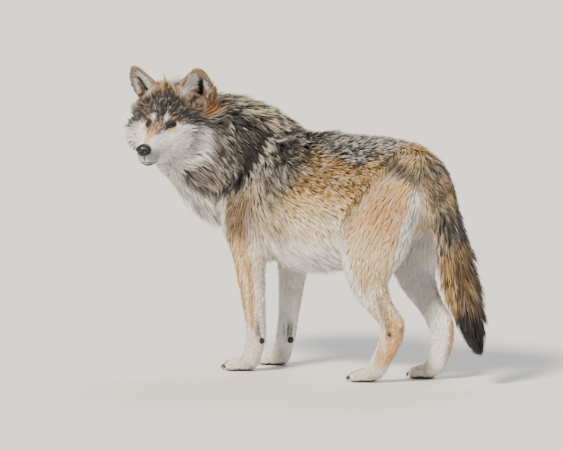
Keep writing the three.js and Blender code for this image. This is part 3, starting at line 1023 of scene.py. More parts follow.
# %% Paint the legs
FORE_STRIPE = [(181, 123, 310), (183, 115, 255), (185, 108, 200), (185, 103, 125)]
HEEL_BAND = [(-243, 117, 232), (-266, 112, 160)]
WRIST_SPOTS = (((166, 93, 116), (15, 18, 26)), ((176, -58, 98), (20, 16, 22)))
HEEL_SPOTS = (((-269, 110, 134), 1.0), ((-299, 96, 146), 0.4))


def paint_legs(c, p, n, w):
    y, z = p[:, 1], p[:, 2]
    wave = 16 * (mottle(p, 40, 5) - 0.5) + 10 * (mottle(p, 14, 15) - 0.5)
    s = both_sides(p)
    fore = share_of(w, "fore_left", "fore_right")
    hind = share_of(w, "hind_left", "hind_right")
    outer = soft(n[:, 1] * np.sign(y), -0.25, 0.35)
    grain = 0.55 * streaks(p, (0.05, -1), 4.5, 45, 31) + 0.45 * streaks(p, (0.05, -1), 11, 90, 32)
    below = 1 - soft(z, 470, 540)
    c.paint(fore * below, "ivory", "white", 0.0, 0.3)
    c.paint(fore * outer * soft(z + wave, 110, 190) * below, "cream", "cream", 0.0, 0.25)
    wash = outer * soft(z, 90, 170) * soft(grain, 0.42, 0.58)
    c.paint(fore * wash * 0.75, "pink_tan", "tan", 0.0, 0.1)
    c.paint(fore * soft(z + wave, 330, 400) * below, "brown", "fawn", 0.15, 0.12)
    c.paint(fore * (1 - outer) * below, "white", "white")
    line_place = outer * soft(n[:, 0], 0.15, 0.6) * soft(z, 110, 190) * (1 - soft(z, 400, 470))
    c.paint(fore * line_place * 0.9, "tan", "tan", 0.0, 0.1)
    c.paint(fore * band(p, FORE_STRIPE, 8) * 0.8, "tan", "tan")
    c.paint(fore * soft(-n[:, 0], 0.2, 0.8) * (1 - soft(z, 400, 460)) * 0.8, "white", "ivory")
    low = 1 - soft(z + wave, 520, 580)
    c.paint(hind * low, "ivory", "white", 0.0, 0.3)
    c.paint(hind * low * outer * soft(z + wave, 200, 290), "cream", "pink_tan", 0.0, 0.4)
    wash = outer * soft(grain, 0.46, 0.62) * (1 - soft(z, 260, 330)) * soft(z, 25, 60)
    c.paint(hind * wash * 0.7, "tan", "pink_tan")
    c.paint(hind * low * outer * soft(z + wave, 340, 450), "pink_tan", "pink_tan", 0.05, 0.2)
    rear = soft(-n[:, 0], -0.4, 0.4) * (1 - soft(z, 150, 210)) * soft(z, 30, 70)
    c.paint(hind * outer * rear * soft(grain, 0.25, 0.5), "pink_tan", "tan")
    rusty = blob(p * [1, 0, 1], (-275, 0, 470), (60, 1, 70), 0.6) * 0.4
    c.paint(hind * low * outer * rusty, "tan", "orange", 0.02, 0.25)
    c.paint(hind * band(p, HEEL_BAND, 12) * 0.7, "fawn", "fawn", 0.1)
    c.paint(hind * low * (1 - outer), "white", "white")
    behind = soft(-n[:, 0], 0.55, 0.9)
    c.paint(hind * behind * soft(z, 260, 330) * low, "white", "white")
    c.paint(hind * behind * (1 - soft(z, 200, 290)) * soft(z, 40, 90) * 0.8, "tan", "pink_tan")
    ahead = soft(n[:, 0], 0.35, 0.8) * (1 - soft(z, 430, 490))
    c.paint(hind * ahead, "white", "white")
    paw = share_of(w, *[k for k in LINE_NAMES if k.startswith("paw_")])
    c.paint(paw, "ivory", "white", 0.02, 0.3)
    c.paint(paw * soft(mottle(p, 9, 33), 0.55, 0.8) * 0.5, "fawn", "cream", 0.05)
    # Painted shade in the furrows between the toes.
    c.paint(paw * np.clip(toe_forms(p)[1], 0, 1) * 0.85, "brown", "grey", 0.35)
    c.paint(paw * soft(-n[:, 2], 0.2, 0.6) * (1 - soft(z, 3, 9)), "charcoal", "charcoal")
    for spot, radii in WRIST_SPOTS:
        c.paint(blob(p, spot, radii, 0.7) * soft(grain, 0.38, 0.58) * 0.8, "grey", "slate", 0.4)
    for spot, share in HEEL_SPOTS:
        c.paint(blob(s, spot, (13, 16, 12)) * 0.7 * share, "tan", "tan")
        c.paint(blob(s, spot, (7, 12, 7)) * share, "brown", "charcoal", 0.4)


print("spots on the legs:", len(WRIST_SPOTS), "at the wrists,", len(HEEL_SPOTS), "at each heel")

# %% [markdown]
# ### Accents and the tail
# A few strong marks make the coat read as this animal's own: the white edge down the thigh and the grey
# rear ruff. Painted shade makes the crease behind the shoulder black and darkens a band down the neck's
# side and the place under the elbow. The tail is darkest along its back, with a black tip.


# %% Paint the accents and the tail
def paint_accents(c, p, n):
    s = both_sides(p)
    c.paint(band(p, THIGH_EDGE, 17), "white", "white")
    c.paint(band(p, SEAT, 13), "white", "frost")
    c.paint(band(p, HIP_BAND, 20) * 0.75, "grey", "slate", 0.62)
    c.paint(band(p, [(266, 136, 462), (268, 128, 392)], 17), "white", "white")
    # Painted shadow under the elbow: a soft fawn patch.
    c.paint(blob(s, (88, 127, 388), (38, 40, 42), 0.95) * 0.6, "fawn", "fawn", 0.3)
    hollow = blob(s, (208, 106, 626), (34, 60, 44))
    c.paint(hollow, "slate", "grizzle", 0.6, 0.1)
    rear_ruff = blob(s, (270, 118, 628), (28, 44, 44))
    rear_ruff = rear_ruff * (1 - soft(mottle(p * [1, 1, 0.4], 8, 25), 0.45, 0.65))
    c.paint(rear_ruff * 0.85, "grey", "grizzle", 0.55)
    c.paint(side_band(p, NECK_SHADE, 20) * 0.85, "slate", "charcoal", 0.8, 0.1)
    c.paint(side_band(p, CREASE_EDGE, 11) * 0.8, "grizzle", "frost", 0.2, 0.3)
    # Painted shade: a black line along the crease behind the shoulder's ruff.
    c.paint(side_band(p, CREASE_SHADOW, 12, 0.4), "black", "black", 1.0)
    dock = band(p, TAIL_DARK, 34, 0.8) * soft(-n[:, 0], -0.4, 0.2)
    c.paint(dock * 0.8, "slate", "grey", 0.6)


def paint_tail(c, p, n, w):
    z = p[:, 2]
    tail = share_of(w, "tail")
    wave = 30 * (mottle(p, 35, 6) - 0.5)
    c.paint(tail, "grizzle", "pink_tan", 0.5, 0.15)
    c.paint(tail * (1 - soft(z + wave, 300, 380)), "fawn", "gold", 0.45, 0.1)
    c.paint(tail * soft(z, 500, 580), "fawn", "gold", 0.45, 0.2)
    rear = soft(-n[:, 0], -0.2, 0.5)
    middle_part = soft(z + wave, 340, 420) * (1 - soft(z + wave, 550, 620))
    c.paint(tail * rear * middle_part, "slate", "charcoal", 0.66)
    c.paint(tail * rear * (1 - soft(z + wave, 330, 400)), "fawn", "charcoal", 0.65)
    c.paint(tail * soft(n[:, 0], 0.2, 0.8) * soft(z, 250, 350), "grizzle", "cream", 0.2, 0.3)
    c.paint(tail * (1 - soft(z + wave, 165, 225)), "charcoal", "black", 0.95)


print("white edge of the thigh:", len(THIGH_EDGE), "places, the crease:", len(CREASE_SHADOW))

# %% [markdown]
# ### The mask of the head
# A grizzled forehead ends in a sharp line above white cheeks, and a grey stripe runs from the eye down
# beside the cheek. There is a tan bridge, a pale spot over each eye, and rows of dark dots on the muzzle
# where the whiskers grow.


# %% Paint the head
TEMPLE = np.array([(-14, 62, 18), (-25, 67, 22), (-46, 101, 9), (-69, 134, -16)], float)
DOT_ROWS, DOTS_PER_ROW = 4, 5


def paint_head(c, h, w):
    x, y, z = h.T
    side = np.abs(y)
    s = np.stack([x, side, z], 1)
    head = share_of(w, "muzzle", "skull")
    wave = 8 * (mottle(h, 14, 8) - 0.5) + 6 * (mottle(h, 6, 9) - 0.5)
    c.paint(head, "slate", "grizzle", 0.66, 0.05)
    c.paint(head * soft(z + 0.25 * side + wave, 74, 98), "fawn", "gold", 0.25, 0.15)
    edge = 4 - 0.4 * np.maximum(side - 61, 0) - 14 * soft(-side, -50, -30)
    cheek = 1 - soft(z + wave - edge, -10, 6)
    c.paint(head * cheek, "white", "white", 0.02)
    collar = (1 - soft(side, 116, 142)) * soft(x, -95, -70)
    collar = collar * (1 - soft(x, 20, 60)) * soft(z, -125, -100)
    collar = collar * (1 - soft(z + wave - edge, -12, 0)) * soft(side, 40, 70)
    c.paint(collar, "white", "frost", 0.06)
    behind = head * cheek * (1 - soft(x, -55, -5))
    c.paint(behind * (1 - soft(mottle(h * [0.35, 0.8, 1.2], 9, 10), 0.4, 0.6)), "grizzle", "grey", 0.5)
    gap, _ = nearest_on(s, TEMPLE)
    temple = 1 - soft((gap + wave) / 20, 0.4, 1.3)
    c.paint(temple * (1 - soft(side, 150, 175)), "slate", "grey", 0.55, 0.05)
    top = 1 - soft(side + 0.06 * (x - 50), 9, 14)
    bridge = top * soft(x, 14, 34) * soft(z, -50, -30)
    c.paint(head * blob(s, (24, 0, 4), (26, 24, 16)), "fawn", "grizzle", 0.25, 0.2)
    c.paint(head * bridge * soft(z - 0.35 * x, -30, -14) * 0.9, "fawn", "tan", 0.1, 0.2)
    c.paint(head * bridge * (1 - soft(z - 0.35 * x, -30, -14)), "pink_tan", "tan", 0.0, 0.1)
    c.paint(head * bridge * soft(x, 60, 100) * 0.6, "cream", "cream", 0.0, 0.1)
    c.paint(head * blob(s, (-4, 46, 17), (15, 17, 6.5)) * 0.9, "tan", "tan", 0.1)
    c.paint(head * blob(s, (-6, 64, 6), (16, 9, 10)), "tan", "pink_tan", 0.05)
    c.paint(head * blob(s, (6, 42, -12), (16, 21, 7)) * 0.9, "pink_tan", "pink_tan")
    c.paint(head * blob(s, (2, 21, 24), (18, 9, 14), 0.35), "white", "white")
    c.paint(head * blob(s, (-10, 22, 40), (12, 7, 6), 0.5) * 0.6, "grizzle", "white", 0.1)
    for shift in (5.0, -6.0):
        stripe = streak(h, (-34, shift, 50), (-100, 2 + shift, 98), 3.2, 0.5)
        c.paint(head * stripe * 0.9, "slate", "black", 0.85)
    c.paint(head * streak(h, (-34, -0.5, 50), (-86, 1, 90), 2.6, 0.5) * 0.6, "cream", "cream")
    muzzle = share_of(w, "muzzle") * soft(x, 20, 50)
    c.paint(muzzle * (1 - top), "white", "white")
    # Painted shade: the muzzle's sides turn grey toward the nose.
    c.paint(muzzle * (1 - top) * soft(x - 0.5 * z, 104, 135) * 0.45, "grey", "grizzle", 0.1)
    c.paint(head * streak(s, (10, 44, -90), (32, 40, -89), 4) * 0.8, "pink_tan", "tan")
    c.paint(head * blob(s, (108, 8, -88), (14, 17, 5)), "slate", "black", 0.8)
    c.paint(head * blob(s, (118, 0, -64), (10, 3.5, 12)) * 0.8, "slate", "charcoal", 0.6)
    # Painted shade on the whisker pad, in grey.
    c.paint(head * blob(s, (100, 26, -62), (24, 14, 18)) * 0.4, "grey", "grizzle", 0.1)
    rows_of_dots = np.zeros(len(h))
    for row in range(DOT_ROWS):
        for k in range(DOTS_PER_ROW):
            spot = (98 - 11 * k, 27 + 1.6 * k, -58 - 6.5 * row + 1.5 * k)
            rows_of_dots = np.maximum(rows_of_dots, blob(s, spot, (2.0, 5, 2.0), 0.5))
    c.paint(rows_of_dots * 0.85, "charcoal", "slate")


print("whisker dots on each side:", DOT_ROWS * DOTS_PER_ROW)

# %% [markdown]
# ### Rims of the eyes and ears
# The lids are bare and black, with a dark line toward the nose that makes the eye look longer. The ears
# are tan behind, pale inside and edged with a thin brown line. Then all layers go on in one order.


# %% Paint the eyes and the ears
def paint_eyes(c, p):
    """Black rims and the dark line that runs from the inner corner toward the nose."""
    room = from_body(p)
    for eye in eyes:
        u, v, h = eye.flat(room)
        here = (np.abs(h) < 22) & (np.hypot(u, v) < 45)
        gap = np.where(here, opening_gap(u, v), 99)
        c.paint(1 - soft(gap, 2.2, 4.2), "black", "black")
        inner = np.array([[-OPEN_HALF + 1, -0.5, 0], [-OPEN_HALF - 6, -4.5, 0]])
        line_gap, _ = nearest_on(np.stack([u, v, u * 0], 1), inner)
        c.paint(here * (1 - soft(line_gap, 1.2, 2.6)), "black", "black")


EAR_RIM = [(-78, 32, 72), (-74, 42, 89), (-66, 61, 111), (-68, 80, 130), (-70, 94, 138)]
EAR_RIM += [(-74, 104, 133), (-78, 112, 122), (-88, 124, 98), (-93, 126, 80)]
EAR_RIM += [(-104, 117, 49), (-110, 108, 20), (-112, 97, 3)]
EAR_RIM = np.array(EAR_RIM, float)
# Painted shade: the ear's deep opening, as a black slit up the bowl.
EAR_OPENING_SHADE = np.array([(90, 104), (83, 78), (76, 48)], float)


def paint_ears(c, h, n, w):
    side = np.abs(h[:, 1])
    s = np.stack([h[:, 0], side, h[:, 2]], 1)
    ear = share_of(w, "ear_left", "ear_right")
    inward = np.stack([n @ HEAD_AXES[0], (n @ HEAD_AXES[1]) * np.sign(h[:, 1])], 1)
    inward = inward @ np.array([0.9, 0.35])
    inside = soft(inward, 0.0, 0.4)
    c.paint(ear, "tan", "orange", 0.12)
    c.paint(ear * soft(h[:, 2], 70, 130) * (1 - inside), "brown", "brown", 0.4)
    c.paint(ear * inside, "grizzle", "frost", 0.1)
    rim_gap, _ = nearest_on(s[:, 1:], EAR_RIM[:, 1:])
    c.paint(ear * (1 - soft(rim_gap, 1.5, 4.5)), "tan", "fawn", 0.1)
    c.paint(blob(s, (-64, 68, 48), (30, 28, 22)) * ear, "brown", "fawn", 0.35)
    # The ear's opening is painted black as shade.
    opening_shade_gap, _ = nearest_on(s[:, 1:], EAR_OPENING_SHADE)
    facing = np.maximum(inside, soft(h[:, 0], -86, -76))
    c.paint(ear * facing * (1 - soft(opening_shade_gap, 4, 9)), "black", "black", 0.95)
    c.paint(blob(s, (-112, 118, 28), (24, 20, 34)) * 0.85, "orange", "orange", 0.12)


def markings(p, h, n, w):
    c = Coat(len(p))
    paint_body(c, p, n, w)
    paint_tail(c, p, n, w)
    paint_legs(c, p, n, w)
    paint_accents(c, p, n)
    paint_head(c, h, w)
    paint_ears(c, h, n, w)
    paint_eyes(c, p)
    return c


painted = markings(body_points, head_points, normals, weights)
print("mean share of dark tips:", painted.dark.mean().round(2))

# %% [markdown]
# ## Locks and tufts
# A coat isn't single hairs to the eye: they cling together in locks, about a centimetre across on the
# back and a few millimetres on the face. Particle hair could grow them, but it is lost in most formats.
# So each lock is traced over the skin along the lie, rises out of the coat's depth and bends over. Thin
# blades spring from all over its root and lean in to its tip. There are fewest on the mane, where each
# is long and wide, and most on the muzzle.

# %% How close the blades stand
SHARE = 1.0
BLADES_PER_LOCK = 5
BLADES_PER_CM2 = {"muzzle": 100, "skull": 46, "ear": 45, "throat": 18, "neck": 16}
BLADES_PER_CM2 |= {"trunk": 23, "tail": 18, "fore": 30, "hind": 24, "paw": 44}
density = np.array([BLADES_PER_CM2[n.split("_")[0]] for n in LINE_NAMES])
point_density = weights @ density * SHARE
# Nearer an eye the hairs are shorter, finer and closer. The limits are millimetres from the opening.
for eye in eyes:
    u, v, h = eye.flat(points)
    near_eye = np.where((np.abs(h) < 25) & (np.hypot(u, v) < 40), opening_gap(u, v), 99)
    point_density = point_density * (2.6 - 1.6 * soft(near_eye, 6, 18))
    coat["length"] = coat["length"] * (0.3 + 0.7 * soft(near_eye, 1, 14))
    coat["depth"] = coat["depth"] * (0.12 + 0.88 * soft(near_eye, 3, 15))
    coat["width"] = coat["width"] * (0.35 + 0.65 * soft(near_eye, 3, 15))

skin_mesh.calc_loop_triangles()
triangles = np.empty(len(skin_mesh.loop_triangles) * 3, np.int32)
skin_mesh.loop_triangles.foreach_get("vertices", triangles)
triangles = triangles.reshape(-1, 3)
a, b, c3 = (points[triangles[:, k]] for k in range(3))
areas = np.linalg.norm(np.cross(b - a, c3 - a), axis=1) / 2 * 1e4
expected = areas * (point_density * (1 - bald))[triangles].mean(1) / BLADES_PER_LOCK
print("skin, cm2:", round(areas.sum()), "blades:", round(expected.sum() * BLADES_PER_LOCK))


# %% [markdown]
# ### Roots
# Locks are dealt out in proportion to each triangle's share of hair. Pure chance would leave bare spots,
# so they are dealt in even steps with a little play.

# %% Where each lock is rooted
def scattered(count_each):
    """Random places on the skin: a triangle and three shares of its corners for each."""
    total = int(round(count_each.sum()))
    steps = np.cumsum(count_each) / count_each.sum()
    # Even steps with a little play spread the locks better than pure chance.
    picks = np.searchsorted(steps, (np.arange(total) + rng.random(total)) / total)
    u = np.sqrt(rng.random(total))
    v = rng.random(total)
    return triangles[np.minimum(picks, len(triangles) - 1)], np.stack([1 - u, u * (1 - v), u * v], 1)


root_corners, root_shares = scattered(expected)


def at_roots(values):
    picked = values[root_corners]
    if picked.ndim == 2:
        return (picked * root_shares).sum(1)
    return (picked * root_shares[:, :, None]).sum(1)


roots = at_roots(points)
root_normal = unit(at_roots(normals))
root_lie = unit(at_roots(lie))
root_depth = at_roots(coat["depth"])
root_length = at_roots(coat["length"])
root_width = at_roots(coat["width"])
root_weights = at_roots(weights)
print("locks:", len(roots))

# %% [markdown]
# ### How long each lock is and how far it stands up
# The measures along the lines are the rule. The ruff behind the cheeks, the belly, the whiskers of the
# cheek and the crown are longer or looser than it says. Chance keeps them from lying like tiles.

# %% Length and height of each lock
root_head, root_body = to_head(roots), to_body(roots)
ruff = share_of(root_weights, "skull", "throat") * soft(-root_head[:, 0], 25, 95)
ruff = ruff * soft(-root_head[:, 2], -30, 30)
belly = share_of(root_weights, "trunk") * soft(-root_normal[:, 2], 0.1, 0.7)
belly = belly * (1 - soft(root_body[:, 0], 150, 210))
whiskers = soft(-root_head[:, 0], 0, 30) * soft(np.abs(root_head[:, 1]), 66, 92)
whiskers = whiskers * soft(-root_head[:, 2], 2, 24)
whiskers = whiskers * share_of(root_weights, "skull") * (1 - ruff)
crown = soft(-root_head[:, 0], 15, 45) * (1 - soft(-root_head[:, 0], 100, 130))
crown = crown * soft(root_head[:, 2], 55, 80)
crown = crown * share_of(root_weights, "skull") * (1 - soft(np.abs(root_head[:, 1]), 45, 70))
longer = 1 + 0.45 * ruff + 0.8 * belly + 0.5 * whiskers + 0.1 * crown
fluff = 2.2 * crown + 0.55 * ruff + 0.9 * belly + 1.8 * whiskers
play = 0.4 + 0.6 * rng.random(len(roots))
lock_length = root_length * longer * (0.75 + 0.45 * rng.random(len(roots))) / 1000
height = root_depth * (0.62 + 0.5 * rng.random(len(roots))) * (1 + fluff * play) / 1000
wander = rng.normal(0, 0.16, len(roots))
print("longest lock, mm:", round(lock_length.max() * 1000))

# %% [markdown]
# ### Tracing the locks
# A lock could be a straight spike, but a long one would then leave the bent neck. So it walks over the
# skin in three steps. After each it is set back on the skin and turned a little toward the lie there.

# %% Trace each lock over the skin
tree = KDTree(len(points))
for i, q in enumerate(points):
    tree.insert(q, i)
tree.balance()


def nearest_skin(places_now):
    return np.array([tree.find(q)[1] for q in places_now])


across = np.cross(root_normal, root_lie)
heading = unit(root_lie + across * wander[:, None])
STEPS = 3
RISE = [0.0, 0.46, 0.8, 1.0]  # how much of its height a lock has after each step
ROOT_SINK = 0.0008  # metres that a root goes into the skin, so that none floats
spine = [roots - root_normal * ROOT_SINK]
ground, ahead, out = roots, heading, root_normal
for k in range(1, STEPS + 1):
    ground = ground + ahead * (lock_length / STEPS)[:, None]
    found = nearest_skin(ground)
    out = unit(out + normals[found])
    sunk = ((points[found] - ground) * out).sum(1, keepdims=True)
    ground = ground + out * sunk
    ahead = unit(0.6 * ahead + 0.6 * lie[found])
    ahead = unit(ahead - out * (ahead * out).sum(1, keepdims=True))
    spine.append(ground + out * (height * RISE[k])[:, None])
spine = np.stack(spine, 1)
print("spines:", spine.shape)

# %% [markdown]
# ### Tufts
# A dry winter coat parts into tufts where neighbouring locks cling. Some locks are drawn by chance as
# leaders, and the others lean to the nearest one, more toward their tips. On the mane and the tail the
# tufts are large and loose, on the flank they are small.

# %% Draw the locks together in tufts
LOCKS_PER_TUFT = {"muzzle": 3, "skull": 6, "ear": 3, "throat": 16, "neck": 14}
LOCKS_PER_TUFT |= {"trunk": 4, "tail": 12, "fore": 3, "hind": 4, "paw": 3}
TUFT_PULL = {"muzzle": 0.1, "skull": 0.45, "ear": 0.2, "throat": 0.7, "neck": 0.62}
TUFT_PULL |= {"trunk": 0.4, "tail": 0.6, "fore": 0.3, "hind": 0.4, "paw": 0.2}
kinds = [n.split("_")[0] for n in LINE_NAMES]
leader_share = 1 / (root_weights @ np.array([LOCKS_PER_TUFT[k] for k in kinds], float))
pull = root_weights @ np.array([TUFT_PULL[k] for k in kinds])
leaders = np.nonzero(rng.random(len(roots)) < leader_share)[0]
leader_tree = KDTree(len(leaders))
for i, k in enumerate(leaders):
    leader_tree.insert(roots[k], i)
leader_tree.balance()
tuft = np.array([leaders[leader_tree.find(q)[1]] for q in roots])
near_leader = 1 - soft(np.linalg.norm(roots[tuft] - roots, axis=1) * 1000, 18, 30)
for k, share in enumerate((0.0, 0.2, 0.6, 1.0)):
    toward = spine[tuft, k] - spine[:, k]
    lean = pull * near_leader * share * (0.7 + 0.3 * rng.random(len(roots)))
    spine[:, k] += toward * lean[:, None]
print("tufts:", len(leaders))

# %% [markdown]
# ## Blades
# Each blade is a thin tapering strip of three steps, or two on the short coat. A round tube would cost
# several times the triangles and look the same from a metre away. Each blade is rolled a little by
# chance, so that some catch the light edge on and others flat.

# %% Blades from locks
LONG_ROWS = np.array([0.0, 0.38, 0.74, 1.0])  # where along a blade its corners are
SHORT_ROWS = np.array([0.0, 0.55, 1.0])
LOWEST_HAIR = 0.0003  # metres that every hair stays above the floor


def spine_at(s, lock):
    """Points on the locks' spines at shares s of their lengths."""
    k = np.minimum((s * STEPS).astype(int), STEPS - 1)
    t = (s * STEPS - k)[:, None]
    return spine[lock, k] * (1 - t) + spine[lock, k + 1] * t


def grow(lock, rows, spread, clump):
    """Corner points of every blade: rows of two, and one at the tip."""
    count = len(lock)
    reach = 0.62 + 0.42 * rng.random(count)
    turn = 2 * math.pi * rng.random(count)
    far = np.sqrt(rng.random(count)) * spread[lock]
    offset = root_lie[lock] * (np.cos(turn) * far)[:, None]
    offset = offset + across[lock] * (np.sin(turn) * far)[:, None]
    lift = (rng.random(count) - 0.35) * 0.3 * height[lock]
    roll = rng.normal(0, 0.45, count)
    flat = across[lock] * np.cos(roll)[:, None] + root_normal[lock] * np.sin(roll)[:, None]
    centre = []
    for s in rows:
        p = spine_at(np.minimum(s * reach, 1.0), lock)
        p = p + offset * (1 - clump * s**1.3) + root_normal[lock] * (lift * s)[:, None]
        centre.append(p)
    centre = np.stack(centre, 1)
    half = root_width[lock] / 2000 * (0.75 + 0.5 * rng.random(count))
    taper = np.interp(rows, [0, 0.4, 0.75, 1], [0.9, 1.0, 0.72, 0])
    left = centre + flat[:, None, :] * (half[:, None] * taper)[:, :, None]
    right_side = centre - flat[:, None, :] * (half[:, None] * taper)[:, :, None]
    corners_now = np.empty((count, 2 * len(rows) - 1, 3))
    corners_now[:, 0:-1:2] = left[:, :-1]
    corners_now[:, 1:-1:2] = right_side[:, :-1]
    corners_now[:, -1] = centre[:, -1]
    corners_now[:, :, 2] = np.maximum(corners_now[:, :, 2], LOWEST_HAIR)
    return corners_now


print("corners of a blade:", 2 * len(LONG_ROWS) - 1, "or", 2 * len(SHORT_ROWS) - 1)

# %% [markdown]
# ### Colours of the blades
# A hair is dull at the root, where its neighbours shade it, then has its own colour and last its tip's.
# Whether a tip is black is settled for a whole lock at a time, in patches of about 6 mm on the body and
# 3 mm on the face. That gives the eye grizzle, where settling it blade by blade gives plain grey.

# %% Colour each lock
shown = spine[:, 2]  # the part of a lock that shows lies two thirds along it
lock_paint = markings(to_body(shown), to_head(shown), root_normal, root_weights)
tips = to_body(spine[:, 3])
on_face = share_of(root_weights, "muzzle", "skull") > 0.5
fleck = np.where(on_face, mottle(tips, 3.2, 24), mottle(tips, 6, 21))
patch = 0.85 * soft(fleck, 0.15, 0.85) + 0.15 * rng.random(len(roots))
lock_dark = np.clip((lock_paint.dark - patch) / 0.1 + 0.5, 0, 1)
patch = 0.75 * soft(mottle(tips, 8, 23), 0.15, 0.85) + 0.25 * rng.random(len(roots))
lock_pale = np.clip((lock_paint.pale - patch) / 0.15 + 0.5, 0, 1) * 0.8
root_shade = np.interp(root_depth, [3, 22], [0.92, 0.6])
lock_value = 1 + 0.16 * (rng.random(len(roots)) - 0.5) + 0.18 * (mottle(root_body, 18, 22) - 0.5)
print("locks with black tips:", round(lock_dark.mean() * 100), "in a hundred")


# %% Colour each blade
OWN_COLOUR = (0.0, 0.35)  # the root's shade gives way to the hair's own colour over this share
TIP_COLOUR = (0.3, 1.0)  # and that to the tip's colour over this one


def blade_colours(lock, rows):
    count = len(lock)
    value = lock_value[lock] * (1 + 0.16 * (rng.random(count) - 0.5))
    main = lock_paint.main[lock] * value[:, None]
    tip = lock_paint.tip[lock] * value[:, None]
    dark = np.clip(lock_dark[lock] + rng.normal(0, 0.18, count), 0, 1)[:, None]
    pale = np.clip(lock_pale[lock] + rng.normal(0, 0.18, count), 0, 1)[:, None]
    tip = tip * (1 - pale) + PAINTS["white"] * 0.95 * pale
    tip = tip * (1 - dark) + PAINTS["black"] * dark
    root = main * root_shade[lock, None]
    colours_now = np.empty((count, 2 * len(rows) - 1, 4), np.float32)
    colours_now[:, :, 3] = 1
    for k, s in enumerate(rows):
        mid_share = soft(np.array([s]), *OWN_COLOUR)[0]
        tip_share = soft(np.array([s]), *TIP_COLOUR)[0]
        row = root * (1 - mid_share) + main * mid_share
        row = row * (1 - tip_share) + tip * tip_share
        colours_now[:, 2 * k, :3] = row
        if k < len(rows) - 1:
            colours_now[:, 2 * k + 1, :3] = row
    return colours_now


print("shade of a root:", root_shade.min().round(2), "to", root_shade.max().round(2))

# %% [markdown]
# ### The coat laid out flat
# To keep its colours in an image, the coat needs a flat place for every blade. An automatic unwrap of a
# million triangles would be slow and leave most of the square empty. Since each lock has a line and a
# root, the skin is unrolled round its lines, and every blade gets a tiny patch there.


# %% Where each lock is on the unwrapped skin
def unwrapped():
    """The skin unrolled around its lines, one beside the next: how far along, and the angle around."""
    main_line = root_weights.argmax(1)
    flat_places = np.zeros((len(roots), 2))
    body, head = to_body(roots), to_head(roots)
    for k, (name, line) in enumerate(LINES.items()):
        mine = main_line == k
        in_head = name in ("muzzle", "skull", "ear_left", "ear_right")
        source = head if in_head else body
        joints = to_head(from_body(line["joints"])) if in_head else line["joints"]
        _, place = nearest_on(source[mine], joints)
        knots = np.arange(len(joints))
        foot = np.stack([np.interp(place, knots, joints[:, c]) for c in range(3)], 1)
        i, j = line["axes"]
        arm = source[mine] - foot
        flat_places[mine, 0] = k + place / (len(joints) - 1)
        flat_places[mine, 1] = np.arctan2(arm[:, i], arm[:, j]) / (2 * math.pi) + 0.5
    return main_line, flat_places


main_line, flat_places = unwrapped()
PATCH = 0.003  # of the unwrapped square, across one blade
MARGIN = 0.004  # of the square, kept free at each edge


def blade_uvs(lock, rows, low, high):
    inside = 1 - PATCH - 2 * MARGIN
    spot = MARGIN + (flat_places[lock] - low) / np.maximum(high - low, 1e-6) * inside
    uv = np.empty((len(lock), 2 * len(rows) - 1, 2), np.float32)
    for k, s in enumerate(rows):
        uv[:, 2 * k] = spot + [s * PATCH, 0]
        if k < len(rows) - 1:
            uv[:, 2 * k + 1] = spot + [s * PATCH, PATCH]
    uv[:, -1, 1] += PATCH / 2
    return uv


print("lines unrolled:", len(set(main_line.tolist())))


# %% A mesh from blades
def blade_mesh(name, corners_now, colours_now, uvs):
    count, per_blade, _ = corners_now.shape
    quads = (per_blade - 3) // 2
    pattern = []
    for k in range(quads):
        pattern += [2 * k, 2 * k + 1, 2 * k + 3, 2 * k + 2]
    pattern += [per_blade - 3, per_blade - 2, per_blade - 1]
    loops = (np.array(pattern)[None, :] + (np.arange(count) * per_blade)[:, None]).ravel()
    sizes = np.tile([4] * quads + [3], count)
    starts = np.concatenate([[0], np.cumsum(sizes)[:-1]])
    mesh = bpy.data.meshes.new(name)
    mesh.vertices.add(count * per_blade)
    mesh.vertices.foreach_set("co", corners_now.astype(np.float32).ravel())
    mesh.loops.add(len(loops))
    mesh.loops.foreach_set("vertex_index", loops.astype(np.int32))
    mesh.polygons.add(len(sizes))
    mesh.polygons.foreach_set("loop_start", starts.astype(np.int32))
    mesh.polygons.foreach_set("use_smooth", np.ones(len(sizes), bool))
    tint = mesh.color_attributes.new("coat_colour", "FLOAT_COLOR", "POINT")
    tint.data.foreach_set("color", colours_now.ravel())
    layer = mesh.uv_layers.new(name="OFBake")
    layer.data.foreach_set("uv", uvs.reshape(-1, 2)[loops].ravel())
    mesh.update()
    return mesh, int((sizes - 2).sum())


print("triangles in a long blade:", 2 * len(LONG_ROWS) - 3)

# %% [markdown]
# ## Guard hair and underfur
# Guard hairs are keratin rods with flat scales, so light slides along them: a broad soft shine, never a
# bright spot. A hair shader would need real hairs, so the blades get a plain surface with a low sheen,
# which gives the eye that dry softness. The underfur is the same keratin, but crimped and dense. On the
# skin it is a relief 0.8 mm deep, which looks matt and swallows the light between the locks.


# %% Fur materials
HAIR_GRAIN = 900.0  # per metre: specks of lighter and darker hair about a millimetre across


